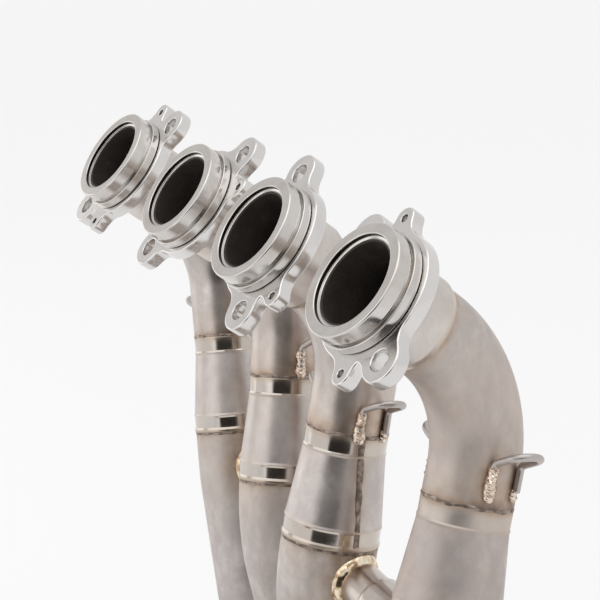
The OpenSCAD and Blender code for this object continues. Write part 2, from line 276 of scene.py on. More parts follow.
def finish_mesh(name, verts, faces, materials, face_slots=None, sharp=34, attributes=()):
    """A mesh object in metres from millimetre points, smooth apart from sharp edges."""
    mesh = bpy.data.meshes.new(name)
    mesh.from_pydata([tuple(v) for v in np.asarray(verts, float) * MM], [], faces)
    for key, kind, values in attributes:
        layer = mesh.attributes.new(key, kind, "POINT")
        flat = np.asarray(values, np.float32).ravel()
        layer.data.foreach_set("vector" if kind == "FLOAT_VECTOR" else "value", flat)
    for material in materials:
        mesh.materials.append(material)
    if face_slots is not None:
        mesh.polygons.foreach_set("material_index", np.asarray(face_slots, np.int32))
    work = bmesh.new()
    work.from_mesh(mesh)
    bmesh.ops.remove_doubles(work, verts=work.verts, dist=1e-7)
    bmesh.ops.recalc_face_normals(work, faces=work.faces)
    work.to_mesh(mesh)
    work.free()
    mesh.polygons.foreach_set("use_smooth", [True] * len(mesh.polygons))
    mesh.set_sharp_from_angle(angle=math.radians(sharp))
    return linked(name, mesh)


def grid_faces(rows, columns, close_rows):
    """Faces between rows of points, each row a closed ring."""
    faces = []
    for i in range(rows if close_rows else rows - 1):
        k = (i + 1) % rows
        for j in range(columns):
            m = (j + 1) % columns
            faces.append((i * columns + j, i * columns + m, k * columns + m, k * columns + j))
    return faces


def end_caps(rows, columns):
    return [tuple(range(columns)), tuple((rows - 1) * columns + j for j in range(columns))]


def rounded(corners, steps=3):
    """Closed profile through corners (s, r, radius), rounded by arcs, with a support point on both sides."""
    out = []
    n = len(corners)
    for i, (s, r, radius) in enumerate(corners):
        here = np.array([s, r], float)
        if radius <= 0:
            out.append(here)
            continue
        before = np.array(corners[i - 1][:2], float) - here
        after = np.array(corners[(i + 1) % n][:2], float) - here
        lb, la = np.linalg.norm(before), np.linalg.norm(after)
        b, a = before / lb, after / la
        half = math.acos(np.clip(b @ a, -1, 1)) / 2
        cut = min(radius / math.tan(half), 0.45 * lb, 0.45 * la)
        radius = cut * math.tan(half)
        centre = here + (b + a) / np.linalg.norm(b + a) * radius / math.sin(half)
        first, last = here + b * cut - centre, here + a * cut - centre
        out.append(here + b * min(cut * 1.25, 0.49 * lb))
        for k in range(steps + 1):
            share = k / steps
            arm = first * (1 - share) + last * share
            out.append(centre + arm / np.linalg.norm(arm) * radius)
        out.append(here + a * min(cut * 1.25, 0.49 * la))
    return np.array(out)


def divided(profile, step, closed=True):
    """The profile with long stretches cut to at most step along s, so that it can follow a bend."""
    out = []
    n = len(profile)
    for i in range(n if closed else n - 1):
        a, b = profile[i], profile[(i + 1) % n]
        parts = max(1, int(math.ceil(abs(b[0] - a[0]) / step)))
        for k in range(parts):
            out.append(a + (b - a) * k / parts)
    if not closed:
        out.append(profile[-1])
    return np.array(out)


def turned(name, route, profile, materials, inner=None, sides=72, heat=None, closed=True, cut=None, sharp=34):
    """A profile of (s, r) points swept round a route. inner(s, r) gives each face's material by its number."""
    profile = np.asarray(profile, float)
    origin, x, y, _ = route.frames(profile[:, 0])
    angle = np.linspace(0, 2 * math.pi, sides, endpoint=False)
    c, s = np.cos(angle), np.sin(angle)
    radius = np.repeat(profile[:, 1:2], sides, axis=1)
    along = np.repeat(profile[:, 0:1], sides, axis=1)
    out = x[:, None, :] * c[None, :, None] + y[:, None, :] * s[None, :, None]
    verts = origin[:, None, :] + out * radius[:, :, None]
    if cut is not None:
        verts = cut(verts, along)
    rows = len(profile)
    lay = np.stack([np.repeat(c[None], rows, 0), np.repeat(s[None], rows, 0), along], axis=-1)
    faces = grid_faces(rows, sides, closed)
    slots = None
    if inner is not None:
        mid = (profile + np.roll(profile, -1, axis=0)) / 2
        row_slots = [int(inner(m[0], m[1])) for m in mid]
        slots = np.repeat(row_slots[: len(faces) // sides], sides)
    verts = verts.reshape(-1, 3)
    stations = np.repeat(profile[:, 0], sides)
    turn = np.stack([stations, radius.ravel(), np.zeros(len(verts))], axis=1)
    tint = heat(verts, stations) if heat else np.zeros(len(verts))
    attributes = point_layers(tint, lay=lay.reshape(-1, 3), turn=turn)
    return finish_mesh(name, verts, faces, materials, slots, sharp, attributes)


def rod(name, route, radius, material, sides=20, step=0.8):
    """A solid round wire along a route, with slightly rounded ends."""
    edge = radius * 0.35
    length = route.length
    end = [(0, 0), (0, radius - edge), (edge * 0.3, radius - edge * 0.3), (edge, radius)]
    profile = end + [(length - s, r) for s, r in reversed(end)]
    profile = divided(np.array(profile, float), step, closed=False)
    return turned(name, route, profile, [material], sides=sides, closed=False, sharp=60)


def resampled(points, step, closed, values=None):
    """Points at equal steps along a polyline, their distances, its length, and the values there."""
    points = np.asarray(points, float)
    values = points if values is None else np.asarray(values, float)
    if closed:
        points, values = np.vstack([points, points[:1]]), np.vstack([values, values[:1]])
    d = np.concatenate([[0], np.cumsum(np.linalg.norm(np.diff(points, axis=0), axis=1))])
    count = max(4, int(round(d[-1] / step)))
    at = np.linspace(0, d[-1], count + (0 if closed else 1), endpoint=not closed)
    line, there = (np.stack([np.interp(at, d, v[:, k]) for k in range(3)], axis=1) for v in (points, values))
    return line, at, d[-1], there


def weld_bead(points, normals, size, material, closed, seed):
    """Stacked weld ripples along a line on a surface, as overlapping crescents."""
    half_w, height, pitch, sides, ripple, uneven = size
    step = pitch / 7
    line, at, length, up = resampled(points, step, closed, normals)
    tangent = np.roll(line, -1, axis=0) - np.roll(line, 1, axis=0)
    if not closed:
        tangent[0], tangent[-1] = line[1] - line[0], line[-1] - line[-2]
    tangent /= np.linalg.norm(tangent, axis=1, keepdims=True)
    up -= tangent * np.sum(up * tangent, axis=1, keepdims=True)
    up /= np.linalg.norm(up, axis=1, keepdims=True)
    across = np.cross(tangent, up)
    dimes = max(2, int(round(length / pitch)))
    random = np.random.RandomState(seed).rand(3, dimes + 2) - 0.5
    angle = np.linspace(0, 2 * math.pi, sides, endpoint=False)
    cross_x, cross_y = np.cos(angle), np.sin(angle)
    phase = at[:, None] / length * dimes + 0.45 * cross_x[None, :] ** 2
    if closed:
        phase = phase % dimes
    whole = np.floor(phase).astype(int)
    share = phase - whole
    following = (whole + 1) % dimes if closed else whole + 1
    blend = share * share * (3 - 2 * share)

    def jitter(row):
        return random[row][whole] * (1 - blend) + random[row][following] * blend

    crest = 0.5 + 0.5 * np.cos(2 * math.pi * share**0.65)
    rise = 1 + ripple * (crest - 0.5) + uneven * 2 * jitter(0)
    spread = 1 + uneven * 2 * jitter(1) + 0.25 * ripple * (crest - 0.5)
    if not closed:
        end = np.minimum(at, length - at)[:, None]
        cap = np.sqrt(np.clip(1 - (1 - np.clip(end / half_w, 0, 1)) ** 2, 0.0004, 1))
        rise, spread = rise * cap, spread * cap
    lift = np.where(cross_y > 0, height, height * 0.6)[None, :] * cross_y[None, :] * rise
    slide = half_w * cross_x[None, :] * spread + half_w * uneven * jitter(2)
    verts = line[:, None, :] + across[:, None, :] * slide[:, :, None] + up[:, None, :] * lift[:, :, None]
    rows = len(line)
    faces = grid_faces(rows, sides, closed)
    if not closed:
        faces += end_caps(rows, sides)
    tone = np.clip(share + 0.25 * np.abs(cross_x)[None, :], 0, 1)
    return finish_mesh("bead", verts.reshape(-1, 3), faces, [material], None, 60, point_layers(tone))


def joined(name, objects):
    """One object from several, in the order given."""
    bpy.ops.object.select_all(action="DESELECT")
    for obj in objects:
        obj.select_set(True)
    bpy.context.view_layer.objects.active = objects[0]
    bpy.ops.object.join()
    objects[0].name = name
    objects[0].data.name = name
    return objects[0]


def placed(obj, body, slot, *nodes):
    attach(obj, body)
    if nodes:
        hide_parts(*nodes)
    return obj


def tubular(name, route, corners, skins, home, part=None, sides=72, heat=None, step=3, cut=None):
    """A turned piece with rounded corners, in its place. home is its body, slot and node; the slot is not
    used.
    """
    profile = divided(rounded(corners), step)
    return placed(turned(name, route, profile, skins, part, sides, heat, cut=cut), *home)


# -------------------------------- materials
class Shader:
    """Short forms for building a node material."""

    def __init__(self, name):
        self.material = bpy.data.materials.new(name)
        self.material.use_nodes = True
        self.nodes = self.material.node_tree.nodes
        self.links = self.material.node_tree.links
        self.bsdf = self.nodes["Principled BSDF"]

    def add(self, kind, settings=None, **inputs):
        node = self.nodes.new("ShaderNode" + kind)
        for key, value in (settings or {}).items():
            setattr(node, key, value)
        for key, value in inputs.items():
            self.feed(node, key, value)
        return node

    def feed(self, node, key, value):
        """Set or link one input, given by name with _ for each space, or as i and its number."""
        by_number = key[0] == "i" and key[1:].isdigit()
        socket = node.inputs[int(key[1:]) if by_number else key.replace("_", " ")]
        if isinstance(value, bpy.types.NodeSocket):
            self.links.new(value, socket)
        else:
            socket.default_value = value

    def attribute(self, name):
        return self.add("Attribute", {"attribute_type": "GEOMETRY", "attribute_name": name})

    def place(self):
        return self.add("TexCoord").outputs["Object"]

    def stretched(self, vector, scale):
        return self.add("Mapping", Vector=vector, Scale=scale).outputs["Vector"]

    def noise(self, vector, scale, detail=3.0, roughness=0.55):
        node = self.add("TexNoise", Vector=vector, Scale=scale, Detail=detail, Roughness=roughness)
        return node.outputs["Fac"]

    def ramp(self, factor, stops):
        node = self.add("ValToRGB", Fac=factor)
        elements = node.color_ramp.elements
        while len(elements) < len(stops):
            elements.new(0.5)
        for element, (position, colour) in zip(elements, stops):
            element.position = position
            element.color = (*colour, 1) if len(colour) == 3 else colour
        return node.outputs["Color"]

    def remap(self, factor, from_low, from_high, low, high):
        node = self.add("MapRange", Value=factor, i1=from_low, i2=from_high, i3=low, i4=high)
        return node.outputs["Result"]

    def maths(self, operation, a, b):
        return self.add("Math", {"operation": operation}, i0=a, i1=b).outputs[0]

    def mix(self, factor, a, b, blend="MIX"):
        node = self.add("Mix", {"data_type": "RGBA", "blend_type": blend}, Factor=factor)
        self.feed(node, "i6", a)
        self.feed(node, "i7", b)
        return node.outputs[2]

    def bump(self, height, strength, distance, normal=None):
        node = self.add("Bump", Height=height, Strength=strength, Distance=distance)
        if normal is not None:
            self.feed(node, "Normal", normal)
        return node.outputs["Normal"]

    def set(self, **inputs):
        for key, value in inputs.items():
            self.feed(self.bsdf, key, value)
        return self.material


# Colours for the tint layer: heat colour, and on the primaries painted shade beside the hooks
HEAT_AND_SHADE_TINT = (
    (0.0, (1.0, 1.0, 1.0)),
    (0.14, (0.99, 0.95, 0.90)),
    (0.32, (0.88, 0.78, 0.68)),
    (0.52, (0.67, 0.56, 0.48)),
    (0.74, (0.44, 0.36, 0.32)),
    (1.0, (0.26, 0.21, 0.20)),
)


def scaled(base, *factors):
    """An opaque colour: the base times one factor, or times one for each channel."""
    return (*[c * f for c, f in zip(base, factors if len(factors) == 3 else factors * 3)], 1)


def satin_steel(name, light, dark, tan, rough=(0.26, 0.40), lines=0.12):
    """Satin pipe skin: cloudy warm greys, faint marks round the tube, and heat colours by the tint layer, with
    painted shade beside the hooks on the primaries.
    """
    sh = Shader(name)
    place = sh.place()
    lay = sh.attribute("lay").outputs["Vector"]
    clouds = sh.noise(place, 46.0, 6.0, 0.68)
    patches = sh.noise(place, 13.0, 3.0)
    colour = sh.mix(sh.remap(clouds, 0.40, 0.60, 0, 1), (*dark, 1), (*light, 1))
    colour = sh.mix(sh.remap(patches, 0.46, 0.66, 0, 0.85), colour, (*tan, 1))
    mottle = sh.noise(sh.stretched(place, (170.0, 170.0, 95.0)), 1.0, 4.0, 0.6)
    colour = sh.mix(sh.remap(mottle, 0.34, 0.62, 0.5, 0), colour, scaled(dark, 0.90, 0.86, 0.86))
    # the tint layer holds heat colour, and on the primaries painted shade beside the hook legs
    heat = sh.attribute("tint").outputs["Fac"]
    wander = sh.noise(place, 120.0, 4.0)
    uneven = sh.maths("MULTIPLY", heat, sh.remap(wander, 0.3, 0.7, 0.45, 1.5))
    blotch = sh.noise(place, 52.0, 3.0)
    uneven = sh.maths("ADD", uneven, sh.remap(blotch, 0.56, 0.74, 0, 0.10))
    colour = sh.mix(1.0, colour, sh.ramp(uneven, HEAT_AND_SHADE_TINT), "MULTIPLY")
    marks = sh.noise(sh.stretched(lay, (1.2, 1.2, 2.6)), 1.0, 6.0, 0.7)
    grain = sh.noise(place, 1500.0, 2.0)
    roughness = sh.remap(sh.mix(1 - lines, marks, clouds), 0.35, 0.65, *rough)
    roughness = sh.maths("ADD", roughness, sh.maths("MULTIPLY", heat, 0.10))
    skin = sh.bump(marks, lines, 0.00003)
    skin = sh.bump(grain, 0.15, 0.00002, skin)
    return sh.set(Base_Color=colour, Metallic=1.0, Roughness=roughness, Normal=skin)


def turned_steel(name, base, rough, pitch=2.4, depth=0.000012):
    """Bright lathe-turned metal: fine rings of uneven depth, brighter where the tool has dragged."""
    sh = Shader(name)
    place = sh.place()
    lay = sh.add("SeparateXYZ", Vector=sh.attribute("turn").outputs["Vector"])
    line = sh.add("CombineXYZ", X=lay.outputs["X"], Y=lay.outputs["Y"], Z=0.0).outputs["Vector"]
    rings = sh.noise(line, pitch, 5.0, 0.75)
    coarse = sh.noise(line, pitch * 0.18, 2.0)
    smudge = sh.noise(place, 75.0, 5.0)
    colour = sh.mix(sh.remap(rings, 0.3, 0.7, 0, 1), scaled(base, 0.90), (*base, 1))
    colour = sh.mix(sh.remap(smudge, 0.42, 0.66, 0, 1.0), colour, scaled(base, 0.84, 0.81, 0.78))
    roughness = sh.remap(sh.mix(0.5, rings, smudge), 0.35, 0.65, *rough)
    skin = sh.bump(rings, 0.6, depth)
    skin = sh.bump(coarse, 0.4, depth, skin)
    return sh.set(Base_Color=colour, Metallic=1.0, Roughness=roughness, Normal=skin, Anisotropic=0.5)


def plate_steel(name, base, rough=(0.20, 0.34)):
    """Tumbled and polished plate: soft clouds, fine random scratches and a few small dings."""
    sh = Shader(name)
    place = sh.place()
    clouds = sh.noise(place, 60.0, 5.0)
    scratches = sh.noise(sh.stretched(place, (900.0, 120.0, 500.0)), 1.0, 3.0, 0.6)
    grain = sh.noise(place, 1800.0, 2.0)
    colour = sh.mix(sh.remap(clouds, 0.35, 0.65, 0, 1), scaled(base, 0.92), (*base, 1))
    roughness = sh.remap(sh.mix(0.5, clouds, scratches), 0.35, 0.65, *rough)
    skin = sh.bump(scratches, 0.12, 0.00002)
    skin = sh.bump(grain, 0.06, 0.00002, skin)
    return sh.set(Base_Color=colour, Metallic=1.0, Roughness=roughness, Normal=skin)


def polished_band(name, base, rough=(0.07, 0.16)):
    """Rolled band: nearly a mirror, with faint lengthwise rolling marks and heat tint."""
    sh = Shader(name)
    place = sh.place()
    clouds = sh.noise(place, 70.0, 4.0)
    heat = sh.attribute("tint").outputs["Fac"]
    colour = sh.mix(sh.remap(clouds, 0.35, 0.7, 0, 1), (*base, 1), scaled(base, 0.95, 0.91, 0.86))
    colour = sh.mix(1.0, colour, sh.ramp(heat, HEAT_AND_SHADE_TINT), "MULTIPLY")
    roughness = sh.maths("ADD", sh.remap(clouds, 0.35, 0.65, *rough), sh.maths("MULTIPLY", heat, 0.55))
    skin = sh.bump(sh.noise(place, 240.0, 2.0), 0.35, 0.00006)
    return sh.set(Base_Color=colour, Metallic=1.0, Roughness=roughness, Normal=skin)


def weld_metal(name, stops, rough=(0.18, 0.38), ripple_share=0.45):
    """Weld ripples: the tint layer runs along each ripple, from bright crest to coloured toe."""
    sh = Shader(name)
    place = sh.place()
    tone = sh.attribute("tint").outputs["Fac"]
    patches = sh.noise(place, 320.0, 3.0)
    mixed = sh.maths("ADD", sh.maths("MULTIPLY", tone, ripple_share), patches)
    colour = sh.ramp(mixed, stops)
    skin = sh.bump(sh.noise(place, 2200.0, 2.0), 0.3, 0.00003)
    return sh.set(Base_Color=colour, Metallic=1.0, Roughness=sh.remap(patches, 0.3, 0.7, *rough), Normal=skin)


def inside_shade_skin(name):
    """Inside of the pipes: painted shade, nearly black, with brown patches."""
    sh = Shader(name)
    place = sh.place()
    bloom = sh.noise(place, 90.0, 5.0, 0.65)
    speckle = sh.noise(place, 900.0, 3.0)
    colour = sh.ramp(sh.mix(0.35, bloom, speckle), INSIDE_SHADE_STOPS)
    roughness = sh.remap(bloom, 0.3, 0.7, 0.62, 0.85)
    return sh.set(Base_Color=colour, Metallic=0.0, Roughness=roughness, Normal=sh.bump(speckle, 0.5, 0.0002))


def shaded_bore(name):
    """Mouth of the ring: painted shade, dark brown on turned metal, still a little shiny."""
    sh = Shader(name)
    place = sh.place()
    bloom = sh.noise(place, 130.0, 4.0)
    colour = sh.ramp(bloom, BORE_SHADE_STOPS)
    return sh.set(Base_Color=colour, Metallic=1.0, Roughness=sh.remap(bloom, 0.3, 0.7, 0.30, 0.48))


# painted shade inside the pipes
INSIDE_SHADE_STOPS = ((0.30, (0.012, 0.009, 0.007)), (0.55, (0.030, 0.022, 0.016)), (0.75, (0.075, 0.052, 0.036)))
# painted shade in the mouths of the rings
BORE_SHADE_STOPS = ((0.3, (0.02, 0.015, 0.012)), (0.7, (0.06, 0.048, 0.038)))
GOLD_STOPS = (
    (0.36, (0.88, 0.80, 0.68)),
    (0.50, (0.80, 0.67, 0.49)),
    (0.62, (0.62, 0.46, 0.30)),
    (0.74, (0.36, 0.25, 0.17)),
)
STRAW_STOPS = (
    (0.40, (0.88, 0.80, 0.72)),
    (0.58, (0.80, 0.69, 0.58)),
    (0.78, (0.56, 0.43, 0.34)),
    (0.95, (0.20, 0.145, 0.115)),
)
BROWN_STOPS = (
    (0.38, (0.40, 0.33, 0.28)),
    (0.50, (0.29, 0.235, 0.20)),
    (0.62, (0.17, 0.135, 0.115)),
)
GREY_WELD_STOPS = (
    (0.25, (0.66, 0.62, 0.58)),
    (0.55, (0.52, 0.46, 0.40)),
    (0.85, (0.32, 0.26, 0.23)),
)

UPPER = satin_steel(
    "upper_tube_satin", (0.65, 0.60, 0.57), (0.49, 0.445, 0.42), (0.58, 0.51, 0.465), (0.27, 0.38)
)
UPPER_DULL = satin_steel(
    "upper_tube_dull", (0.63, 0.575, 0.54), (0.51, 0.465, 0.435), (0.58, 0.51, 0.465), (0.46, 0.58)
)
CONE = satin_steel(
    "cone_satin", (0.64, 0.59, 0.565), (0.49, 0.45, 0.43), (0.57, 0.51, 0.475), (0.32, 0.42), 0.05
)
CONE_DULL = satin_steel(
    "cone_dull", (0.59, 0.53, 0.50), (0.48, 0.43, 0.41), (0.56, 0.49, 0.43), (0.50, 0.62), 0.05
)
LOWER = satin_steel(
    "lower_tube_satin", (0.67, 0.625, 0.60), (0.51, 0.47, 0.45), (0.60, 0.54, 0.50), (0.44, 0.58)
)
SECONDARY = satin_steel("secondary_satin", (0.60, 0.55, 0.515), (0.50, 0.455, 0.425), (0.56, 0.49, 0.44))
MERGE_SKIN = satin_steel(
    "merge_satin", (0.60, 0.56, 0.53), (0.51, 0.475, 0.45), (0.57, 0.51, 0.46), (0.28, 0.42)
)
CROSS_SKIN = satin_steel(
    "crossover_satin", (0.68, 0.635, 0.60), (0.58, 0.53, 0.495), (0.64, 0.57, 0.50), (0.16, 0.26)
)
HUB_SKIN = satin_steel(
    "hub_satin", (0.68, 0.635, 0.60), (0.60, 0.555, 0.52), (0.66, 0.60, 0.54), (0.28, 0.38)
)
RING = turned_steel("ring_turned", (0.70, 0.675, 0.655), (0.13, 0.26))
PLUG_SKIN = turned_steel("fitting_turned", (0.74, 0.72, 0.70), (0.20, 0.32))
FLANGE = plate_steel("flange_polished", (0.75, 0.73, 0.715), (0.13, 0.23))
TAB_SKIN = plate_steel("tab_brushed", (0.70, 0.68, 0.66), (0.26, 0.40))
BAND = polished_band("band_rolled", (0.58, 0.545, 0.515))
BAND_DULL = polished_band("band_dull", (0.58, 0.53, 0.50), (0.38, 0.50))
WIRE = plate_steel("hook_wire_satin", (0.52, 0.48, 0.455), (0.32, 0.44))
SPRING = plate_steel("spring_wire_plain", (0.55, 0.54, 0.52), (0.22, 0.34))
COPPER = plate_steel("washer_copper", (0.78, 0.42, 0.26), (0.22, 0.36))
GOLD_WELD = weld_metal("weld_gold", GOLD_STOPS, (0.10, 0.22), 0.10)
STRAW_WELD = weld_metal("weld_straw", STRAW_STOPS, (0.16, 0.30), 0.30)
BROWN_WELD = weld_metal("weld_brown", BROWN_STOPS, (0.35, 0.55), 0.05)
GREY_WELD = weld_metal("weld_grey", GREY_WELD_STOPS, (0.25, 0.42))
# painted shade inside the pipes
INSIDE_SHADE = inside_shade_skin("pipe_inside_shade")
# painted shade in the mouths of the rings
BORE_SHADE = shaded_bore("shaded_bore")

# -------------------------------- the four primaries' centrelines


def primary_route(i):
    """From the mouth to the merge, with the CAD's bends."""
    swing, turn = math.radians(SWING[i]), math.radians(TURN[i])
    side = DOWN * math.cos(swing) + ROW * math.sin(swing)
    leg = AWAY * math.cos(turn) + side * math.sin(turn)
    port = Vector((PORT_X[i], 0, 0))
    setback = BEND_R * math.tan(turn / 2)
    corner = port + AWAY * (NECK[i] + setback)
    step_end = corner + leg * (setback + TAIL[i] + STEP_L)
    pair = i // 2
    inlet = Vector((MERGE_X[pair] + (1 if i % 2 else -1) * MERGE_SPACING / 2, MERGE_Y, MERGE_Z))
    points = [port, corner, step_end + leg * LEAVE_L, *WAYPOINTS[i], inlet]
    return Route(points, [BEND_R, CORNER_R, CORNER_R, ELBOW_R], ROW)


ROUTES = [primary_route(i) for i in range(4)]
WELD_S = [NECK[i] + BEND_R * math.radians(TURN[i]) + TAIL[i] for i in range(4)]
STEP_END_S = [s + STEP_L for s in WELD_S]
CROSS_S = [s + drop for s, drop in zip(STEP_END_S, CROSSOVER_DROP)]
# Where each step cone's lengthwise seam lies, round the tube
CONE_SEAM = [math.radians(a) for a in (150, 170, 5, 160)]
SEAM_TWIST = [math.radians(a) for a in (0, 0, -10, 0)]
# How far each seam starts below the first weld and ends past the second
SEAM_FROM = (9.8, 9.8, 0.5, 9.8)
SEAM_TO = (-9.6, -9.6, 2.0, -9.6)
# Fall of a round tube's surface away from a post's foot, per square millimetre
FOOT_DROP = 0.5 / 27


# -------------------------------- heat tint, and painted shade beside the hooks
def near(distance, width, strength):
    return strength * np.exp(-((distance / width) ** 2))


def segment_distance(verts, a, b):
    a, b = np.array(a), np.array(b)
    along = np.clip((verts - a) @ (b - a) / ((b - a) @ (b - a)), 0, 1)
    return np.linalg.norm(verts - a - along[:, None] * (b - a), axis=1)


def hook_angles(i):
    """Where the two hooks stand round primary i, in its route's own frame."""
    start = -math.radians(SWING[i])
    return start - math.radians(HOOK_AZIMUTH), start + math.radians(180 + HOOK_AZIMUTH)


LEG_TURN = math.asin(HOOK_HALF_W / (TUBE_R + WIRE_R))


def hook_leg(i, angle, side, low, high, radius):
    """Points down the tube along one leg of a hook, and the directions out of the tube."""
    origin, x, heading = ROUTES[i].at(WELD_S[i])
    y = heading.cross(x)
    turn = angle + side * LEG_TURN
    out = x * math.cos(turn) + y * math.sin(turn)
    base = origin - heading * HOOK_ABOVE_WELD[i] + out * radius
    return [base + heading * (low + (high - low) * k / 8) for k in range(9)], [out] * 9


def primary_heat_and_shade(i):
    """Tint near the first weld, faintly where the ring's sleeve ends, and beside the hooks' legs: heat colour
    of their welds plus painted shade, wider on one side of each hook.
    """
    legs = [hook_leg(i, a, side, 1, 15, TUBE_R) for a in hook_angles(i) for side in (1, -1)]

    def heat(verts, s):
        total = near(s - WELD_S[i], 2.2, 0.34) + near(s - WELD_S[i], 11, 0.17) + near(s - HUB_END, 3, 0.30)
        for k, (points, _) in enumerate(legs):
            away = segment_distance(verts, points[0], points[-1])
            # painted shade beside each hook leg on top of the weld's heat colour; the wide band is darker on
            # one side of each hook
            total += near(away, 3.6, 0.30) + near(away, 10.0, 0.14 if k % 2 == 0 else 0.08)
        return np.clip(total, 0, 1)

    return heat


def step_heat(i):
    """Tint beside the two welds, at the rolled corners and along the cone's seam."""
    s_values = np.linspace(WELD_S[i] + SEAM_FROM[i], STEP_END_S[i] + SEAM_TO[i], 12)
    middle = (TUBE_R + STEP_R) / 2
    turns = CONE_SEAM[i] + np.linspace(0, SEAM_TWIST[i], 12)
    seam = [ROUTES[i].point(s, turn, middle)[0] for s, turn in zip(s_values, turns)]

    def heat(verts, s):
        total = near(s - WELD_S[i], 1.6, 0.30) + near(s - WELD_S[i], 5.0, 0.14)
        total += near(s - STEP_END_S[i], 1.8, 0.30) + near(s - STEP_END_S[i], 5.0, 0.08)
        total += near(s - WELD_S[i] - BAND_L, 1.2, 0.10) + near(s - STEP_END_S[i] + BAND_L, 1.2, 0.10)
        away = segment_distance(verts, seam[0], seam[-1])
        return np.clip(total + near(away, 2.2, 0.26) + near(away, 5.0, 0.14), 0, 1)

    return heat


def lower_heat(i):
    start, towards = cross_ends(i)

    def heat(verts, s):
        total = near(s - STEP_END_S[i], 2.2, 0.32) + near(s - STEP_END_S[i], 12.0, 0.12)
        total += near(s - ROUTES[i].length, 9.0, 0.6)
        spot = start + towards * STEP_R
        total += near(np.maximum(np.linalg.norm(verts - np.array(spot), axis=1) - CROSSOVER_R, 0), 8.0, 0.50)
        return np.clip(total, 0, 1)

    return heat


def cross_ends(i):
    """A crossover's start on primary i, and its direction away from it."""
    ends = []
    for k in (i, i + 1 if i % 2 == 0 else i - 1):
        origin, _, heading = ROUTES[k].at(STEP_END_S[k])
        ends.append(origin + heading * CROSSOVER_DROP[k] + Vector((0, CROSSOVER_OFF, 0)))
    return ends[0], (ends[1] - ends[0]).normalized()


# -------------------------------- turned inlet rings and the tubes in them
def inlet_ring(i):
    inner = MOUTH_R
    seat = TUBE_R + 0.05
    floor_r = RING_R - GROOVE_DEPTH
    corners = (
        (0, inner, 0.6), (0, RING_R, 0.7), (LAND_L, RING_R, 0.3), (LAND_L, floor_r, 0.25),
        (LAND_L + GROOVE_L, floor_r, 0.25), (LAND_L + GROOVE_L, SHOULDER_R, 0.4),
        (SHOULDER_END, SHOULDER_R, 0.5), (SHOULDER_END, HUB_R, 0.5), (HUB_END - 3, HUB_R, 2.5),
        (HUB_END, seat + 0.4, 0.3), (HUB_END, seat, 0), (TUBE_START, seat, 0),
        (MOUTH_L, inner, 0.2),
    )

    def part(s, r):
        # faces of the mouth's bore get painted shade
        if 0.3 < s < MOUTH_L - 0.1 and r < inner + 0.15:
            return 1
        return 2 if s > SHOULDER_END + 0.6 and r > seat + 0.1 else 0

    def heat(verts, s):
        return near(s - HUB_END, 3.0, 0.26)

    mouth = ROUTES[i].at(0)[0]
    route = straight(mouth, mouth + AWAY * 60, ROW)
    home = PAIR[i], "turned_ring", f"inlet_ring_{i + 1}"
    return tubular(f"ring_{i + 1}", route, corners, [RING, BORE_SHADE, HUB_SKIN], home, part, 144, heat)


def primary_bend(i):
    end = WELD_S[i]
    rim = TUBE_R - BRIGHT_RIM
    corners = (
        (TUBE_START, TUBE_R - WALL, 0.3), (TUBE_START, rim, 0), (TUBE_START, TUBE_R, 0.1),
        (end, TUBE_R, 0), (end, TUBE_R - WALL, 0),
    )

    def part(s, r):
        if s < TUBE_START + 0.2 and r > rim:
            return 2
        return r < TUBE_R - 0.3

    skins = [UPPER_DULL if i == 3 else UPPER, INSIDE_SHADE, RING]
    home = PAIR[i], "upper_tube", f"primary_bend_{i + 1}"
    return tubular(f"primary_{i + 1}", ROUTES[i], corners, skins, home, part, 96, primary_heat_and_shade(i), 2.5)


def step_cone(i):
    start = WELD_S[i]
    a, b, end = start + BAND_L, start + BAND_L + CONE_L, start + STEP_L
    corners = (
        (start + 0.15, TUBE_R, 0.15), (start + 1.2, TUBE_R + 0.12, 0.5),
        (a - 0.9, TUBE_R + 0.05, 0.5), (a, TUBE_R + 0.4, 0.5), (a + 1.1, TUBE_R + 0.15, 0.5),
        (b - 1.2, STEP_R - 0.1, 0.6), (b, STEP_R + 0.3, 0.5), (b + 1.1, STEP_R + 0.02, 0.5),
        (end - 2.6, STEP_R, 0.6), (end - 1.4, STEP_R + 0.45, 0.7), (end - 0.2, STEP_R + 0.4, 0.3),
        (end, STEP_R, 0.1), (end, STEP_R - WALL, 0), (b, STEP_R - WALL, 2), (a, TUBE_R - WALL, 2),
        (start, TUBE_R - WALL, 0), (start, TUBE_R, 0),
    )

    def part(s, r):
        if r < TUBE_R - 0.4 + max(0, min(1, (s - a) / CONE_L)) * (STEP_R - TUBE_R):
            return 2
        return 1 if s < a or s > b else 0

    skins = [CONE_DULL if i == 3 else CONE, BAND_DULL if i == 3 else BAND, INSIDE_SHADE]
    home = PAIR[i], "rolled_step", f"step_cone_{i + 1}"
    return tubular(f"step_{i + 1}", ROUTES[i], corners, skins, home, part, 96, step_heat(i))


def inside_of(radius, start=-1.0):
    """Says which faces of a tube are its inside, painted with shade: within a radius, past a start."""
    return lambda s, r: r < radius and s > start


def at_merge(route, points, y):
    """Points near a route's end, moved along it onto the plane at that y."""
    points = np.asarray(points, float)
    heading = np.array(route.at(route.length)[2])
    return points - np.outer((points[:, 1] - y) / heading[1], heading)


def lower_tube(i):
    start, end = STEP_END_S[i] + 0.01, ROUTES[i].length
    corners = (start, STEP_R - WALL, 0), (start, STEP_R, 0), (end, STEP_R, 0), (end, STEP_R - WALL, 0)

    def cut(verts, along):
        last = along > end - 0.001
        verts[last] = at_merge(ROUTES[i], verts[last], MERGE_Y)
        return verts

    name, home = f"lower_{i + 1}", (PAIR[i], "lower_tube", f"lower_tube_{i + 1}")
    part = inside_of(STEP_R - 0.5)
    return tubular(name, ROUTES[i], corners, [LOWER, INSIDE_SHADE], home, part, 80, lower_heat(i), cut=cut)


def hoop(route, s, radius, count=120):
    """Points round a route at one place, and the directions out of it."""
    rows = [route.point(s, 2 * math.pi * k / count, radius) for k in range(count)]
    return [r[0] for r in rows], [r[1] for r in rows]


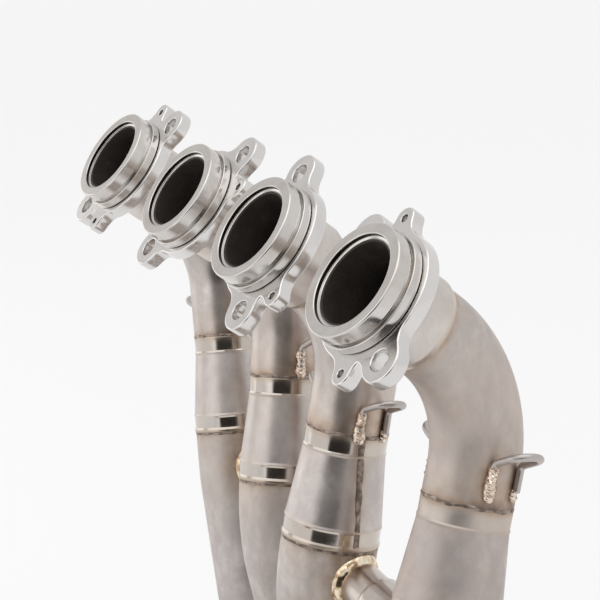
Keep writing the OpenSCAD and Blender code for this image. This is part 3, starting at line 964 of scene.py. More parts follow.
# -------------------------------- bent-wire hooks and their welds
def hook_wire(i, angle):
    origin, x, heading = ROUTES[i].at(WELD_S[i])
    y = heading.cross(x)
    hx = x * math.cos(angle) + y * math.sin(angle)
    hy = heading.cross(hx)
    base = origin - heading * HOOK_ABOVE_WELD[i]
    at = math.sqrt((TUBE_R + WIRE_R) ** 2 - HOOK_HALF_W**2)
    arm = hx * math.cos(HOOK_LEAN) - heading * math.sin(HOOK_LEAN)
    points = []
    for side in (1, -1):
        corner = base + hx * at + hy * side * HOOK_HALF_W
        row = [corner + heading * HOOK_LEG_L, corner, corner + arm * HOOK_OUT]
        points += row if side == 1 else row[::-1]
    return Route(points, [3, HOOK_HALF_W - 0.1, HOOK_HALF_W - 0.1, 3], hx)


def spring_hooks(i):
    wires = [rod(f"hook_part_{k}", hook_wire(i, a), WIRE_R, WIRE) for k, a in enumerate(hook_angles(i))]
    return placed(joined(f"hooks_{i + 1}", wires), PAIR[i], "hook_wire", f"spring_hooks_{i + 1}")


def hook_welds(i):
    beads = []
    for k, angle in enumerate(hook_angles(i)):
        heavy, light = (1, -1) if k == 0 else (-1, 1)
        points, out = hook_leg(i, angle, heavy, 0.6, 16.2, TUBE_R + 0.7)
        beads.append(weld_bead(points, out, HOOK_BEAD, STRAW_WELD, False, 10 + 7 * i + k))
        points, out = hook_leg(i, angle, light, 9.0, 15.4, TUBE_R + 0.35)
        beads.append(weld_bead(points, out, LIGHT_HOOK_BEAD, STRAW_WELD, False, 60 + 7 * i + k))
    return beads


# -------------------------------- crossovers between neighbours
def line_by_crossover(i):
    """Points close together on primary i's centreline, from 30 before its step's end to 75 past it."""
    return ROUTES[i].frames(np.linspace(STEP_END_S[i] - 30, STEP_END_S[i] + 75, 420))[0]


def to_surface(line, base, direction, radius):
    """How far along a ray from inside a tube it leaves the surface of that radius round the tube's line."""
    reach = np.linspace(0, 60, 241)
    probe = np.array(base)[None] + reach[:, None] * np.array(direction)[None]
    d = np.sqrt(((probe[:, None, :] - line[None, :, :]) ** 2).sum(-1)).min(1) - radius
    within = np.nonzero(d < 0)[0]
    if not len(within):
        return 0.0
    k = within[-1]
    return float(reach[k] - d[k] * (reach[k + 1] - reach[k]) / (d[k + 1] - d[k]))


def crossover(i, radius, wall, length, name, node):
    """A tube out of primary i, cut to fit it and square at its far end. Returns the weld round its root."""
    start, towards = cross_ends(i)
    side = ROUTES[i].at(CROSS_S[i])[2]
    route = straight(start, start + towards * length, side)
    line = line_by_crossover(i)
    sides = 96
    angles = [2 * math.pi * k / sides for k in range(sides)]
    rows = []
    for shell, inset in ((radius - wall, 0.6), (radius, 0.3)):
        bases = [route.point(0, a, shell)[0] for a in angles]
        rows.append([to_surface(line, base, towards, STEP_R - inset) for base in bases])
    verts, lay = [], []

    def add(row_s, row_r):
        for a, s in zip(angles, row_s):
            verts.append(route.point(0, a, row_r)[0] + towards * s)
            lay.append((math.cos(a), math.sin(a), s))

    for share in np.linspace(0, 1, 14):
        add([s + (length - 0.5 - s) * share for s in rows[1]], radius)
    add([length - 0.15] * sides, radius - 0.15)
    add([length] * sides, radius - 0.5)
    add([length] * sides, radius - wall)
    for share in (0.66, 0.33, 0.0):
        add([s + (length - s) * share for s in rows[0]], radius - wall)
    faces = grid_faces(len(verts) // sides, sides, True)
    heat = near(np.array([v[2] for v in lay]) - np.mean(rows[1]), 8, 0.34)
    obj = finish_mesh(name, np.array(verts), faces, [CROSS_SKIN], None, 40, point_layers(heat, lay=lay))
    placed(obj, PAIR[i], "crossover", node)

    ring, out = [], []
    for a in angles:
        base, side_out, _ = route.point(0, a, radius)
        p = np.array(base + towards * to_surface(line, base, towards, STEP_R))
        nearest = line[((line - p) ** 2).sum(1).argmin()]
        blended = (p - nearest) / np.linalg.norm(p - nearest) + np.array(side_out)
        ring.append(p + blended * 0.25)
        out.append(blended / np.linalg.norm(blended))
    return weld_bead(ring, out, CROSSOVER_BEAD, GOLD_WELD, True, 40 + i)


def crossovers():
    """Both crossovers: a tube from one primary and a sleeve over it from the other. Returns the welds."""
    beads = []
    for tag, (a, b) in (("12", (0, 1)), ("34", (2, 3))):
        span = (cross_ends(b)[0] - cross_ends(a)[0]).length
        tube, sleeve = f"cross_tube_{tag}", f"cross_sleeve_{tag}"
        beads.append(crossover(a, CROSSOVER_R, WALL, CROSSOVER_SHARE * span, tube, f"crossover_tube_{tag}"))
        radius, wall, length = CROSSOVER_SLEEVE_R, CROSSOVER_SLEEVE_WALL, SLEEVE_SHARE * span
        beads.append(crossover(b, radius, wall, length, sleeve, f"crossover_sleeve_{tag}"))
    return beads


# -------------------------------- welds of one primary
def primary_welds(i, cross_bead):
    route = ROUTES[i]
    beads = hook_welds(i)
    points, out = hoop(route, WELD_S[i] + 0.1, TUBE_R)
    around = [2 * math.pi * k / len(points) for k in range(len(points))]
    wave = [(math.sin(5 * a + i) + 0.7 * math.sin(9 * a + 2 * i)) * 0.16 for a in around]
    heading = route.at(WELD_S[i])[2]
    points = [p + heading * w for p, w in zip(points, wave)]
    beads.append(weld_bead(points, out, FIRST_BEAD, BROWN_WELD, True, 20 + i))
    points, out = hoop(route, STEP_END_S[i] + 0.55, STEP_R)
    beads.append(weld_bead(points, out, SECOND_BEAD, BROWN_WELD, True, 30 + i))
    low, high = WELD_S[i] + SEAM_FROM[i], STEP_END_S[i] + SEAM_TO[i]
    rows = []
    for k in range(40):
        s = low + (high - low) * k / 39
        share = min(max((s - WELD_S[i] - BAND_L) / CONE_L, 0), 1)
        turn = CONE_SEAM[i] + SEAM_TWIST[i] * k / 39
        rows.append(route.point(s, turn, TUBE_R + 0.1 + (STEP_R - TUBE_R) * share))
    points, out = [r[0] for r in rows], [r[1] for r in rows]
    beads.append(weld_bead(points, out, CONE_BEAD, BROWN_WELD, False, 50 + i))
    points, out = hoop(route, route.length, STEP_R + 0.35)
    points = at_merge(route, points, MERGE_Y + 0.3)
    beads.append(weld_bead(points, out, MERGE_END_BEAD, GREY_WELD, True, 70 + i))
    beads.append(cross_bead)
    return placed(joined(f"welds_{i + 1}", beads), PAIR[i], "lower_tube")


# -------------------------------- flat plates with round edges
def inside(point, loop):
    x, y = point
    a, b = loop, np.roll(loop, -1, axis=0)
    crosses = (a[:, 1] > y) != (b[:, 1] > y)
    with np.errstate(divide="ignore", invalid="ignore"):
        at = a[:, 0] + (y - a[:, 1]) / (b[:, 1] - a[:, 1]) * (b[:, 0] - a[:, 0])
    return bool(np.sum(crosses & (x < at)) % 2)


def triangles(loops):
    """Triangles over the first loop less the others. Indices run through the loops in order."""
    points = np.vstack(loops)
    edges, start = [], 0
    for loop in loops:
        n = len(loop)
        edges += [(start + k, start + (k + 1) % n) for k in range(n)]
        start += n
    out = delaunay_2d_cdt([Vector(p) for p in points], edges, [], 0, 1e-7)
    keep = []
    for face in out[2]:
        face = [out[3][v][0] for v in face]
        middle = points[face].mean(0)
        if inside(middle, loops[0]) and not any(inside(middle, loop) for loop in loops[1:]):
            keep.append(tuple(face))
    return keep


def offset_loop(loop, distance):
    """The loop moved outwards, for a loop that runs anticlockwise."""
    ahead = np.roll(loop, -1, axis=0) - loop
    behind = loop - np.roll(loop, 1, axis=0)
    ahead /= np.linalg.norm(ahead, axis=1, keepdims=True)
    behind /= np.linalg.norm(behind, axis=1, keepdims=True)
    tangent = ahead + behind
    tangent /= np.linalg.norm(tangent, axis=1, keepdims=True)
    return loop + np.stack([tangent[:, 1], -tangent[:, 0]], axis=1) * distance


def circle(radius, centre=(0, 0), count=64):
    a = np.linspace(0, 2 * math.pi, count, endpoint=False)
    return np.stack([centre[0] + radius * np.cos(a), centre[1] + radius * np.sin(a)], axis=1)


def plate(name, outline, holes, thickness, edges, place, material, centre=(0, 0)):
    """A plate whose edges are rounded, built from z = 0 to thickness and put in place by place(x, y, z)."""
    loops = [outline, *holes]
    verts, layers = [], []
    for k, (loop, edge) in enumerate(zip(loops, edges)):
        sign = -1 if k == 0 else 1
        arc = [math.pi / 2 * step / 4 for step in range(5)]
        lower = [(edge * (1 - math.sin(a)), edge * (1 - math.cos(a))) for a in arc]
        upper = [(inset, thickness - z) for inset, z in reversed(lower)]
        layer = []
        for inset, z in lower + upper:
            moved = offset_loop(loop, sign * inset)
            layer.append((moved, z, len(verts)))
            verts += [(p[0], p[1], z) for p in moved]
        layers.append(layer)
    faces = []
    for loop, layer in zip(loops, layers):
        n = len(loop)
        for (_, _, a), (_, _, b) in zip(layer, layer[1:]):
            faces += [(a + j, a + (j + 1) % n, b + (j + 1) % n, b + j) for j in range(n)]
    for end in (0, -1):
        tri = triangles([layer[end][0] for layer in layers])
        index = np.concatenate([np.arange(len(layer[end][0])) + layer[end][2] for layer in layers])
        faces += [tuple(int(index[v]) for v in t) for t in tri]
    flat = np.array(verts)
    out = np.array([place(*v) for v in verts])
    away = flat[:, :2] - np.array(centre)
    radius = np.linalg.norm(away, axis=1)
    turn = np.stack([flat[:, 2], radius, np.zeros(len(flat))], axis=1)
    attributes = point_layers(np.zeros(len(flat)), turn=turn)
    obj = finish_mesh(name, out, faces, [material], attributes=attributes)
    axis = Vector(place(0, 0, 1)) - Vector(place(0, 0, 0))
    axis.normalize()
    work = bmesh.new()
    work.from_mesh(obj.data)
    work.normal_update()
    for e in work.edges:
        caps = [abs(f.normal.dot(axis)) > 0.9995 for f in e.link_faces]
        e.smooth = len(set(caps)) == 1 and (all(caps) or e.calc_face_angle(0) < math.radians(34))
    work.to_mesh(obj.data)
    work.free()
    return obj


def lobe_reach(phi, at, tip):
    """How far from the middle a blended lobe on the x axis reaches, in direction phi."""
    disc, fillet = FLANGE_DISC_R, LOBE_FILLET_R
    fy = tip + fillet
    fx = math.sqrt((disc + fillet) ** 2 - fy**2)
    beta = math.atan2(fy, fx)
    p = abs((phi + math.pi) % (2 * math.pi) - math.pi)
    if p >= beta:
        return disc
    if p > math.atan2(tip, fx):
        d, delta = disc + fillet, beta - p
        return d * math.cos(delta) - math.sqrt(max(fillet**2 - (d * math.sin(delta)) ** 2, 0))
    if fx < at and p > math.atan2(tip, at):
        return tip / math.sin(p)
    if at * math.sin(p) >= tip:
        return disc
    return at * math.cos(p) + math.sqrt(tip**2 - (at * math.sin(p)) ** 2)


def flange(i):
    spring = math.radians(-FLANGE_HAND[i] * SPRING_HOLE_TURN)
    outline = []
    for k in range(440):
        phi = 2 * math.pi * k / 440
        reach = 0
        for half in (0, math.pi):
            reach = max(reach, lobe_reach(phi - half, STUD_AT, STUD_LOBE_R))
            reach = max(reach, lobe_reach(phi - half - spring, SPRING_HOLE_AT, SPRING_LOBE_R))
        outline.append((reach * math.cos(phi), reach * math.sin(phi)))
    holes, edges = [circle(FLANGE_BORE_R, count=120)], [0.7, 0.6]
    for half in (1, -1):
        holes.append(circle(STUD_HOLE_R, (STUD_AT * half, 0), 48))
        hole_at = (SPRING_HOLE_AT * half * math.cos(spring), SPRING_HOLE_AT * half * math.sin(spring))
        holes.append(circle(SPRING_HOLE_R, hole_at, 32))
        edges += [0.5, 0.35]
    turn = -math.radians(FLANGE_TURN[i])
    port = Vector((PORT_X[i], 0, 0))
    gx = ROW * math.cos(turn) + DOWN * math.sin(turn)
    gy = AWAY.cross(gx)

    def place(x, y, z):
        return port + gx * x + gy * y + AWAY * (z + FLANGE_AT)

    obj = plate(f"flange_{i + 1}", np.array(outline), holes, FLANGE_T, edges, place, FLANGE)
    return placed(obj, f"flange_{i + 1}", "flange_plate", f"port_flange_{i + 1}")


# -------------------------------- merges
def merged_reach(phi, radius, half, web):
    """Outline of two circles side by side, joined by a web and smoothed where they meet."""
    c, s = np.abs(np.cos(phi)), np.abs(np.sin(phi))
    under = radius**2 - (half * s) ** 2
    ring = np.where(under > 0, half * c + np.sqrt(np.maximum(under, 0)), half * c)
    bar = np.minimum(web / np.maximum(s, 1e-6), half + radius)
    low = np.where(under > 0, ring, 0)
    soft = 4.0
    gap = np.abs(low - bar)
    return np.maximum(low, bar) + np.maximum(soft - gap, 0) ** 2 / (4 * soft)


def merge_piece(name, x, y, spacing, in_r, out_r, length, tube_r, body, node, seed):
    """Two inlets running into one outlet, with a plate at the inlets and weld along the valleys."""
    columns, hole_sides = 120, 64
    phi = np.linspace(0, 2 * math.pi, columns, endpoint=False)

    def section(d, inset):
        u = min(max((d - 8) / (length - 16), 0), 1)
        radius = in_r + (out_r - in_r) * u - inset
        half = spacing / 2 * (1 - u)
        if u >= 1:
            reach = np.full(columns, radius)
        else:
            reach = merged_reach(phi, radius, half, min(MERGE_WEB - inset + 30 * u, radius * 0.98))
        return np.stack([reach * np.cos(phi), reach * np.sin(phi)], axis=1)

    lips = [0, 0.2, 0.6], [length - 0.5, length - 0.1, length]
    steps = np.concatenate([lips[0], np.linspace(3, length - 3, 44), lips[1]])
    insets = np.concatenate([[0.5, 0.15, 0.0], np.zeros(44), [0, 0.1, 0.4]])
    rows = [(d, section(d, inset)) for d, inset in zip(steps, insets)]
    inner = [(d, section(d, MERGE_WALL)) for d in np.linspace(length, MERGE_PLATE_T, 40)]
    verts, lay = [], []

    def add(d, loop):
        start = len(verts)
        for p in loop:
            verts.append((x + p[0], y - d, MERGE_Z + p[1]))
            n = np.linalg.norm(p) + 1e-9
            lay.append((p[0] / n, p[1] / n, d))
        return start

    starts = [add(d, loop) for d, loop in rows + inner]
    faces = []
    for a, b in zip(starts, starts[1:]):
        faces += [(a + j, a + (j + 1) % columns, b + (j + 1) % columns, b + j) for j in range(columns)]
    hole_r = tube_r - 2
    holes = [circle(hole_r, (side * spacing / 2, 0), hole_sides) for side in (-1, 1)]
    hole_starts = [[add(d, hole) for hole in holes] for d in (0, MERGE_PLATE_T)]
    for a, b in zip(*hole_starts):
        ring = [(j, (j + 1) % hole_sides) for j in range(hole_sides)]
        faces += [(a + j, a + m, b + m, b + j) for j, m in ring]
    for loop_start, loop, at in ((starts[0], rows[0][1], 0), (starts[-1], inner[-1][1], 1)):
        index = list(range(loop_start, loop_start + columns))
        for start in hole_starts[at]:
            index += list(range(start, start + hole_sides))
        faces += [tuple(index[v] for v in t) for t in triangles([loop, *holes])]
    verts, lay = np.array(verts), np.array(lay)
    depth = lay[:, 2]
    heat = near(np.abs(verts[:, 0] - x), 6, 0.5) * (depth < length * 0.8)
    heat = heat + near(depth, 6, 0.45) + near(depth - length, 7, 0.5)
    attributes = point_layers(np.clip(heat, 0, 1), lay=lay)
    obj = finish_mesh(name, verts, faces, [MERGE_SKIN], None, 38, attributes)
    beads = []
    for sign, at in ((1, columns // 4), (-1, 3 * columns // 4)):
        depths = np.linspace(1, length * 0.74, 40)
        path = [(x, y - d, MERGE_Z + section(d, 0)[at][1] + sign * 0.2) for d in depths]
        beads.append(weld_bead(path, [(0, 0, sign)] * 40, VALLEY_BEAD, GREY_WELD, False, seed + sign))
    route = straight((x, y - length - 4, MERGE_Z), (x, y - length + 4, MERGE_Z), ROW)
    points, out = hoop(route, 4, out_r)
    beads.append(weld_bead(points, out, MERGE_OUT_BEAD, GREY_WELD, True, seed + 5))
    placed(joined(f"{name}_welds", beads), body, "merge_sheet")
    return placed(obj, body, "merge_sheet", node)


# -------------------------------- everything below the merges
def secondary_route(k):
    a = Vector((MERGE_X[k], MERGE_Y - MERGE_L, MERGE_Z))
    b = Vector((SOCKET_X[k], SOCKET_Y, MERGE_Z))
    step = Vector((0, 40, 0))
    return Route([a, a - step, b + step, b - Vector((0, SLIP_L, 0))], [SECONDARY_BEND_R] * 2, ROW)


def secondary(k, tag):
    route = secondary_route(k)
    end = route.length
    bore = SECONDARY_R - WALL
    corners = (0, bore, 0), (0, SECONDARY_R, 0), (end, SECONDARY_R, 0.4), (end, bore, 0.4)

    def heat(verts, s):
        return np.clip(near(s, 8, 0.6) + near(s - end + SLIP_L, 14, 0.22), 0, 1)

    name, home = f"secondary_pipe_{tag}", (f"pair_{tag}", "secondary_tube", f"secondary_{tag}")
    return tubular(name, route, corners, [SECONDARY, INSIDE_SHADE], home, inside_of(SECONDARY_R - 0.6), 80, heat)


def slip_socket(k, tag):
    """Socket with a rolled mouth bead that stiffens its end."""
    inner = SOCKET_R - SOCKET_WALL
    corners = (
        (0, inner, 0.4), (0, SOCKET_R + 0.5, 0.6), (2.4, SOCKET_R + 0.5, 0.8), (3.6, SOCKET_R, 0.8),
        (SOCKET_L, SOCKET_R, 0), (SOCKET_L, inner - 3, 0), (SOCKET_L - 2, inner - 3, 0.5),
        (SOCKET_L - 4, inner, 0.5),
    )
    start = Vector((SOCKET_X[k], SOCKET_Y, MERGE_Z))
    route = straight(start, start - Vector((0, SOCKET_L, 0)), ROW)

    def heat(verts, s):
        return near(s - SOCKET_L, 8, 0.6)

    name, home = f"socket_{tag}", ("collector", "slip_socket", f"slip_socket_{tag}")
    return tubular(name, route, corners, [CROSS_SKIN, INSIDE_SHADE], home, inside_of(inner + 0.3, 1), 96, heat, 4)


def post(base, up, lean):
    """Wire post of a spring, leaning over at its top."""
    corner = base + up * (POST_H + POST_BEND_R)
    return Route([base - up * POST_ROOT, corner, corner + lean * POST_REACH], [POST_BEND_R], lean)


def opposite_feet(x, y, radius, axis, lean):
    """Where two posts stand on opposite sides of a tube: foot, direction out, and lean."""
    ups = [Vector([c * sign for c in axis]) for sign in (1, -1)]
    return [(Vector((x, y, MERGE_Z)) + up * radius, up, Vector(lean)) for up in ups]


def posts(name, places, body, node):
    """Posts with a small fillet weld round each foot."""
    parts = []
    for k, (base, up, lean) in enumerate(places):
        parts.append(rod("post", post(base, up, lean), WIRE_R, WIRE))
        side = up.cross(lean)
        turns = [2 * math.pi * j / 36 for j in range(36)]
        ring = [base + (lean * math.cos(a) + side * math.sin(a)) * (WIRE_R + 0.5) + up * 0.1 for a in turns]
        ring = [p - up * FOOT_DROP * (p - base).dot(side) ** 2 for p in ring]
        out = [(lean * math.cos(a) + side * math.sin(a)) * 0.6 + up for a in turns]
        parts.append(weld_bead(ring, out, POST_BEAD, GREY_WELD, True, 300 + k))
    return placed(joined(name, parts), body, "hook_wire", node)


def spring_path():
    """Eye, closed coil, eye, along -Y from the first post."""
    start, end = -SPRING_EYE_R - SPRING_WIRE_R, -(SPRING_L - SPRING_EYE_R - SPRING_WIRE_R)
    turns = int((start - end - 2) / SPRING_COIL_PITCH)
    coil_start, coil_end = start - 1.0, end + 1.0
    count = turns * 20

    def eye(first, sweep, centre):
        angles = [math.radians(first + sweep * k / 43) for k in range(44)]
        return [(SPRING_EYE_R * math.cos(a), centre + SPRING_EYE_R * math.sin(a), 0) for a in angles]

    coil = []
    for k in range(count + 1):
        a = 2 * math.pi * turns * k / count
        y = coil_start + (coil_end - coil_start) * k / count
        coil.append((SPRING_COIL_R * math.cos(a), y, SPRING_COIL_R * math.sin(a)))
    return eye(-72, -300, 0) + coil + eye(450, -300, -SPRING_L)


def swept(name, points, radius, material, sides=10, step=0.8):
    """A wire along any smooth path, ends closed."""
    line = resampled(points, step, False)[0]
    tangent = np.gradient(line, axis=0)
    tangent /= np.linalg.norm(tangent, axis=1, keepdims=True)
    x = np.zeros_like(line)
    x[0] = np.cross(tangent[0], (0.3, 0.5, 0.81))
    for k in range(len(line)):
        v = x[k - 1] if k else x[0]
        v = v - tangent[k] * (v @ tangent[k])
        x[k] = v / np.linalg.norm(v)
    y = np.cross(tangent, x)
    a = np.linspace(0, 2 * math.pi, sides, endpoint=False)
    ring = np.cos(a)[None, :, None] * x[:, None] + np.sin(a)[None, :, None] * y[:, None]
    verts = (line[:, None] + ring * radius).reshape(-1, 3)
    faces = grid_faces(len(line), sides, False) + end_caps(len(line), sides)
    return finish_mesh(name, verts, faces, [material], None, 50, point_layers(np.zeros(len(verts))))


def springs(k, tag):
    """Two extension springs over a slip joint."""
    x0, height = SOCKET_X[k], SECONDARY_R + POST_H - POST_BEND_R
    parts = []
    for sign in (1, -1):
        path = [(x0 + sign * x, SLIP_POST_Y + y, MERGE_Z + sign * (height + z)) for x, y, z in spring_path()]
        parts.append(swept("spring", path, SPRING_WIRE_R, SPRING))
    obj = joined(f"springs_{tag}", parts)
    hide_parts(f"slip_springs_{tag}")
    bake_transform(obj)
    return obj


def outlet_parts():
    """Outlet with its spigot, the sensor boss with washer and plug, the hanger tab, and their welds."""
    top = SOCKET_Y - SOCKET_L - FINAL_L
    start = Vector((FINAL_X, top, MERGE_Z))
    boss_y = top - SENSOR_AT
    end = OUTLET_BODY_L + SPIGOT_L
    inner = OUTLET_R - OUTLET_WALL
    corners = (
        (0, inner, 0), (0, OUTLET_BODY_R, 0), (OUTLET_BODY_L, OUTLET_BODY_R, 0.4),
        (OUTLET_BODY_L + 0.5, OUTLET_R, 0.3), (end, OUTLET_R, 0.6), (end, inner, 0.6),
    )
    route = straight(start, start - Vector((0, end, 0)), ROW)

    def heat(verts, s):
        spot = segment_distance(verts, (FINAL_X, boss_y, MERGE_Z + OUTLET_R), (FINAL_X, boss_y, MERGE_Z + 34))
        tab_end = [(FINAL_X + OUTLET_R, boss_y + side * TAB_W / 2, MERGE_Z) for side in (1, -1)]
        total = near(s, 8, 0.6) + near(np.maximum(spot - BOSS_R, 0), 6, 0.6)
        return np.clip(total + near(segment_distance(verts, *tab_end), 6, 0.5), 0, 1)

    home = "collector", "secondary_tube", "outlet_pipe"
    tubular("outlet_body", route, corners, [SECONDARY, INSIDE_SHADE], home, inside_of(inner + 0.3), 96, heat)

    sensor = Vector((FINAL_X, boss_y, MERGE_Z))
    boss_route = straight(sensor, sensor + Vector((0, 0, 60)), ROW)
    foot, head = OUTLET_BODY_R - 2, OUTLET_BODY_R + BOSS_H
    corners = (foot, BOSS_BORE_R, 0), (foot, BOSS_R, 0), (head, BOSS_R, 0.8), (head, BOSS_BORE_R, 0.5)
    tubular("boss", boss_route, corners, [PLUG_SKIN], ("collector", "turned_fitting", "sensor_boss"))
    seat = head + WASHER_T
    corners = (head, 9.2, 0.2), (head, 11.5, 0.4), (seat, 11.5, 0.4), (seat, 9.2, 0.2)
    tubular("crush_washer", boss_route, corners, [COPPER], ("collector", "washer", "plug_washer"))
    placed(plug(sensor, seat), "collector", "turned_fitting", "sensor_plug")

    ring, out = [], []
    for j in range(96):
        a = 2 * math.pi * j / 96
        x = BOSS_R * math.cos(a)
        z = math.sqrt(OUTLET_BODY_R**2 - x**2)
        normal = Vector((x / OUTLET_BODY_R, 0, z / OUTLET_BODY_R))
        blended = (normal + Vector((math.cos(a), math.sin(a), 0))).normalized()
        ring.append(Vector((sensor.x + x, sensor.y + BOSS_R * math.sin(a), MERGE_Z + z)) + blended * 0.4)
        out.append(blended)
    beads = [weld_bead(ring, out, BOSS_BEAD, GOLD_WELD, True, 401)]

    half_w = TAB_W / 2
    turns = np.linspace(0.05, math.pi - 0.05, 30)
    corners = [(-1, -half_w), (TAB_OUT, -half_w)]
    corners += [(TAB_OUT + half_w * math.sin(t), -half_w * math.cos(t)) for t in turns]
    corners += [(TAB_OUT, half_w), (-1, half_w)]
    outline = []
    for a, b in zip(corners, corners[1:] + corners[:1]):
        parts = max(1, int(math.dist(a, b) / 2))
        outline += [tuple(p + (q - p) * k / parts for p, q in zip(a, b)) for k in range(parts)]

    def place(x, y, z):
        return Vector((FINAL_X + OUTLET_BODY_R + x, sensor.y + y, MERGE_Z + z - TAB_T / 2))

    hole = circle(TAB_HOLE_R, (TAB_OUT, 0), 48)
    tab = plate("tab", np.array(outline), [hole], TAB_T, [0.5, 0.5], place, TAB_SKIN, (TAB_OUT, 0))
    placed(tab, "collector", "turned_fitting", "hanger_tab")
    for sign in (1, -1):
        z = sign * (TAB_T / 2 + 0.3)
        x = FINAL_X + math.sqrt(OUTLET_BODY_R**2 - z**2)
        path = [(x + 0.3, sensor.y - half_w + TAB_W * k / 20, MERGE_Z + z) for k in range(21)]
        beads.append(weld_bead(path, [(0.7, 0, sign)] * 21, TAB_BEAD, GOLD_WELD, False, 410 + sign))
    placed(joined("outlet_welds", beads), "collector", "secondary_tube")


def plug(sensor, seat):
    """Hexagon plug with a hexagon socket, rounded corners and a washer face. Heights are from its seat."""
    around = [2 * math.pi * j / 72 for j in range(72)]

    def hexagon(across, z, corner_cut):
        row = []
        for a in around:
            w = (a + math.pi / 6) % (math.pi / 3) - math.pi / 6
            radius = min(across / 2 / math.cos(w), corner_cut)
            row.append((radius * math.cos(a), radius * math.sin(a), seat + z))
        return row

    def disc(radius, z):
        return [(radius * math.cos(a), radius * math.sin(a), seat + z) for a in around]

    loops = [disc(0.01, -8), disc(8.4, -8), disc(9, -7.4), disc(9, 0), disc(11.7, 0), disc(12, 0.3)]
    loops += [disc(12, 2.6), disc(11.6, 3), disc(9.9, 3), hexagon(19, 3.02, 10.9), hexagon(19, 8.3, 10.9)]
    loops += [hexagon(19, 8.75, 10.2), hexagon(18.6, 9, 9.4), disc(5.4, 9)]
    loops += [hexagon(8, 8.6, 4.62), hexagon(8, 5, 4.62), disc(0.01, 4.4)]
    flat = np.array([p for loop in loops for p in loop])
    verts = [sensor + Vector(p) for loop in loops for p in loop]
    turn = np.stack([flat[:, 2], np.linalg.norm(flat[:, :2], axis=1), np.zeros(len(flat))], axis=1)
    attributes = point_layers(np.zeros(len(flat)), turn=turn)
    return finish_mesh("plug", verts, grid_faces(len(loops), 72, False), [PLUG_SKIN], None, 24, attributes)


# -------------------------------- build
beads = crossovers()
for i in range(4):
    inlet_ring(i)
    primary_bend(i)
    step_cone(i)
    lower_tube(i)
    spring_hooks(i)
    primary_welds(i, beads[i])
    flange(i)

for k, tag in enumerate(("12", "34")):
    body = f"pair_{tag}"
    merge_piece(f"merge_{tag}_shell", MERGE_X[k], MERGE_Y, MERGE_SPACING, MERGE_IN_R, SECONDARY_R, MERGE_L,
                STEP_R, body, f"merge_{tag}", 500 + 20 * k)
    secondary(k, tag)
    slip_socket(k, tag)
    feet = opposite_feet(SOCKET_X[k], SLIP_POST_Y, SECONDARY_R, (0, 0, 1), (0, 1, 0))
    posts(f"slip_posts_{tag}", feet, body, f"slip_hooks_{tag}")
    springs(k, tag)

feet = [opposite_feet(x, SLIP_POST_Y - SPRING_L, SOCKET_R, (0, 0, 1), (0, -1, 0)) for x in SOCKET_X]
posts("socket_posts", feet[0] + feet[1], "collector", "socket_hooks")
feet_y = SOCKET_Y - SOCKET_L - FINAL_L - OUTLET_POSTS_AT
feet = opposite_feet(FINAL_X, feet_y, OUTLET_BODY_R, (1, 0, 0), (0, 1, 0))
posts("outlet_posts", feet, "collector", "outlet_hooks")
merge_piece("final_shell", FINAL_X, SOCKET_Y - SOCKET_L, SOCKET_X[1] - SOCKET_X[0], SOCKET_R, OUTLET_BODY_R,
            FINAL_L, SOCKET_R, "collector", "final_collector", 560)
outlet_parts()

# -------------------------------- floor, light and camera
FLOOR_GLOW = 0.62
FLOOR_GAP = 0.0005
WORLD_STRENGTH = 0.85
LENS = 93.33
SENSOR_W = 36
CAMERA_AT = Vector((0.6311, -0.2675, 0.1601))
CAMERA_TURN = [math.radians(a) for a in (73.39, 0, 63.66)]
# Round Z from +X: where the camera stands, for the cards and lights beside it
CAMERA_AZIMUTH = math.degrees(math.atan2(-0.4252, 0.8587))
TARGET = Vector((0.03, 0.03, -0.10))


def floor():
    low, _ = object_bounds()
    bpy.ops.mesh.primitive_plane_add(size=60, location=(0, 0, low.z - FLOOR_GAP))
    obj = bpy.context.object
    obj.name = "floor"
    sh = Shader("floor_paper")
    sh.set(Base_Color=(0.30, 0.30, 0.30, 1), Roughness=0.9)
    sh.set(Emission_Color=(1, 1, 1, 1), Emission_Strength=FLOOR_GLOW)
    obj.data.materials.append(sh.material)
    obj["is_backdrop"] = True


def direction(azimuth, elevation):
    a, e = math.radians(azimuth), math.radians(elevation)
    return Vector((math.cos(a) * math.cos(e), math.sin(a) * math.cos(e), math.sin(e)))


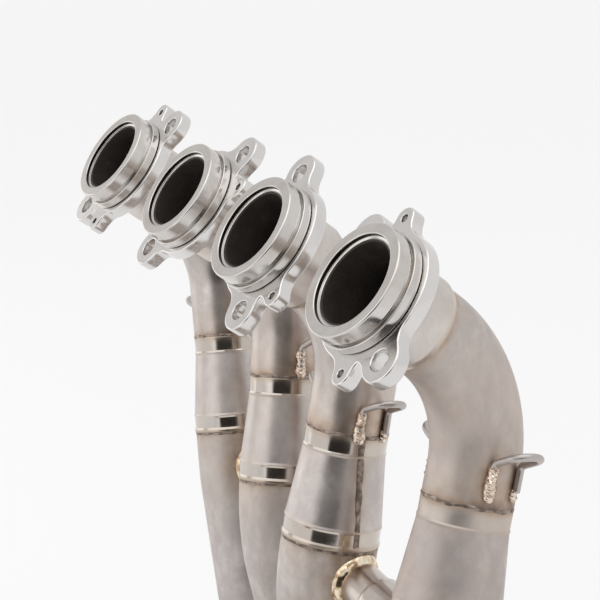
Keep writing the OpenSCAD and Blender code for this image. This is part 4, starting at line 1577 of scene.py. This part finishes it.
def card(name, azimuth, elevation, distance, width, height, shade):
    """A panel that only reflections see, facing the object."""
    out = direction(azimuth, elevation)
    mesh = bpy.data.meshes.new(name)
    side = Vector((0, 0, 1)).cross(out).normalized()
    up = out.cross(side)
    centre = TARGET + out * distance
    corners = ((-1, -1), (1, -1), (1, 1), (-1, 1))
    corners = [centre + side * sx * width / 2 + up * sy * height / 2 for sx, sy in corners]
    mesh.from_pydata([tuple(c) for c in corners], [], [(0, 1, 2, 3)])
    obj = linked(name, mesh)
    sh = Shader(name)
    sh.set(Base_Color=(0, 0, 0, 1), Roughness=1.0, Specular_IOR_Level=0.0)
    sh.set(Emission_Color=(*shade, 1), Emission_Strength=1.0)
    mesh.materials.append(sh.material)
    obj.visible_camera = False
    obj.visible_diffuse = False
    obj.visible_shadow = False
    obj.visible_transmission = False
    obj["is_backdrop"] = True


def softbox(name, azimuth, elevation, distance, size, power):
    """A square area light that faces the object."""
    out = direction(azimuth, elevation)
    light = bpy.data.lights.new(name, "AREA")
    light.shape = "RECTANGLE"
    light.size = light.size_y = size
    light.energy = power
    obj = linked(name, light)
    obj.location = TARGET + out * distance
    obj.rotation_euler = out.to_track_quat("Z", "Y").to_euler()


floor()
world = bpy.data.worlds.new("studio")
bpy.context.scene.world = world
world.use_nodes = True
background = world.node_tree.nodes["Background"]
background.inputs["Color"].default_value = (1, 1, 1, 1)
background.inputs["Strength"].default_value = WORLD_STRENGTH

card("dark_card", CAMERA_AZIMUTH - 18, -4, 1.5, 1.7, 1.5, (0.03, 0.026, 0.024))
card("grey_card", 204.5, 19, 1.5, 1.4, 1.2, (0.70, 0.69, 0.68))
card("left_glow", CAMERA_AZIMUTH - 132, 4, 1.5, 1.1, 2.0, (1.45, 1.44, 1.42))
softbox("key_left", CAMERA_AZIMUTH - 75, 30, 1.6, 1.6, 4)
softbox("top", CAMERA_AZIMUTH + 10, 80, 1.5, 1.6, 6)

camera_data = bpy.data.cameras.new("camera")
camera_data.lens = LENS
camera_data.sensor_width = SENSOR_W
camera_data.clip_end = 100
camera = linked("camera", camera_data)
camera.location = CAMERA_AT
camera.rotation_euler = CAMERA_TURN
bpy.context.scene.camera = camera
settings = bpy.context.scene.view_settings
settings.view_transform, settings.look = "Standard", "None"
settings.exposure, settings.gamma = 0, 1
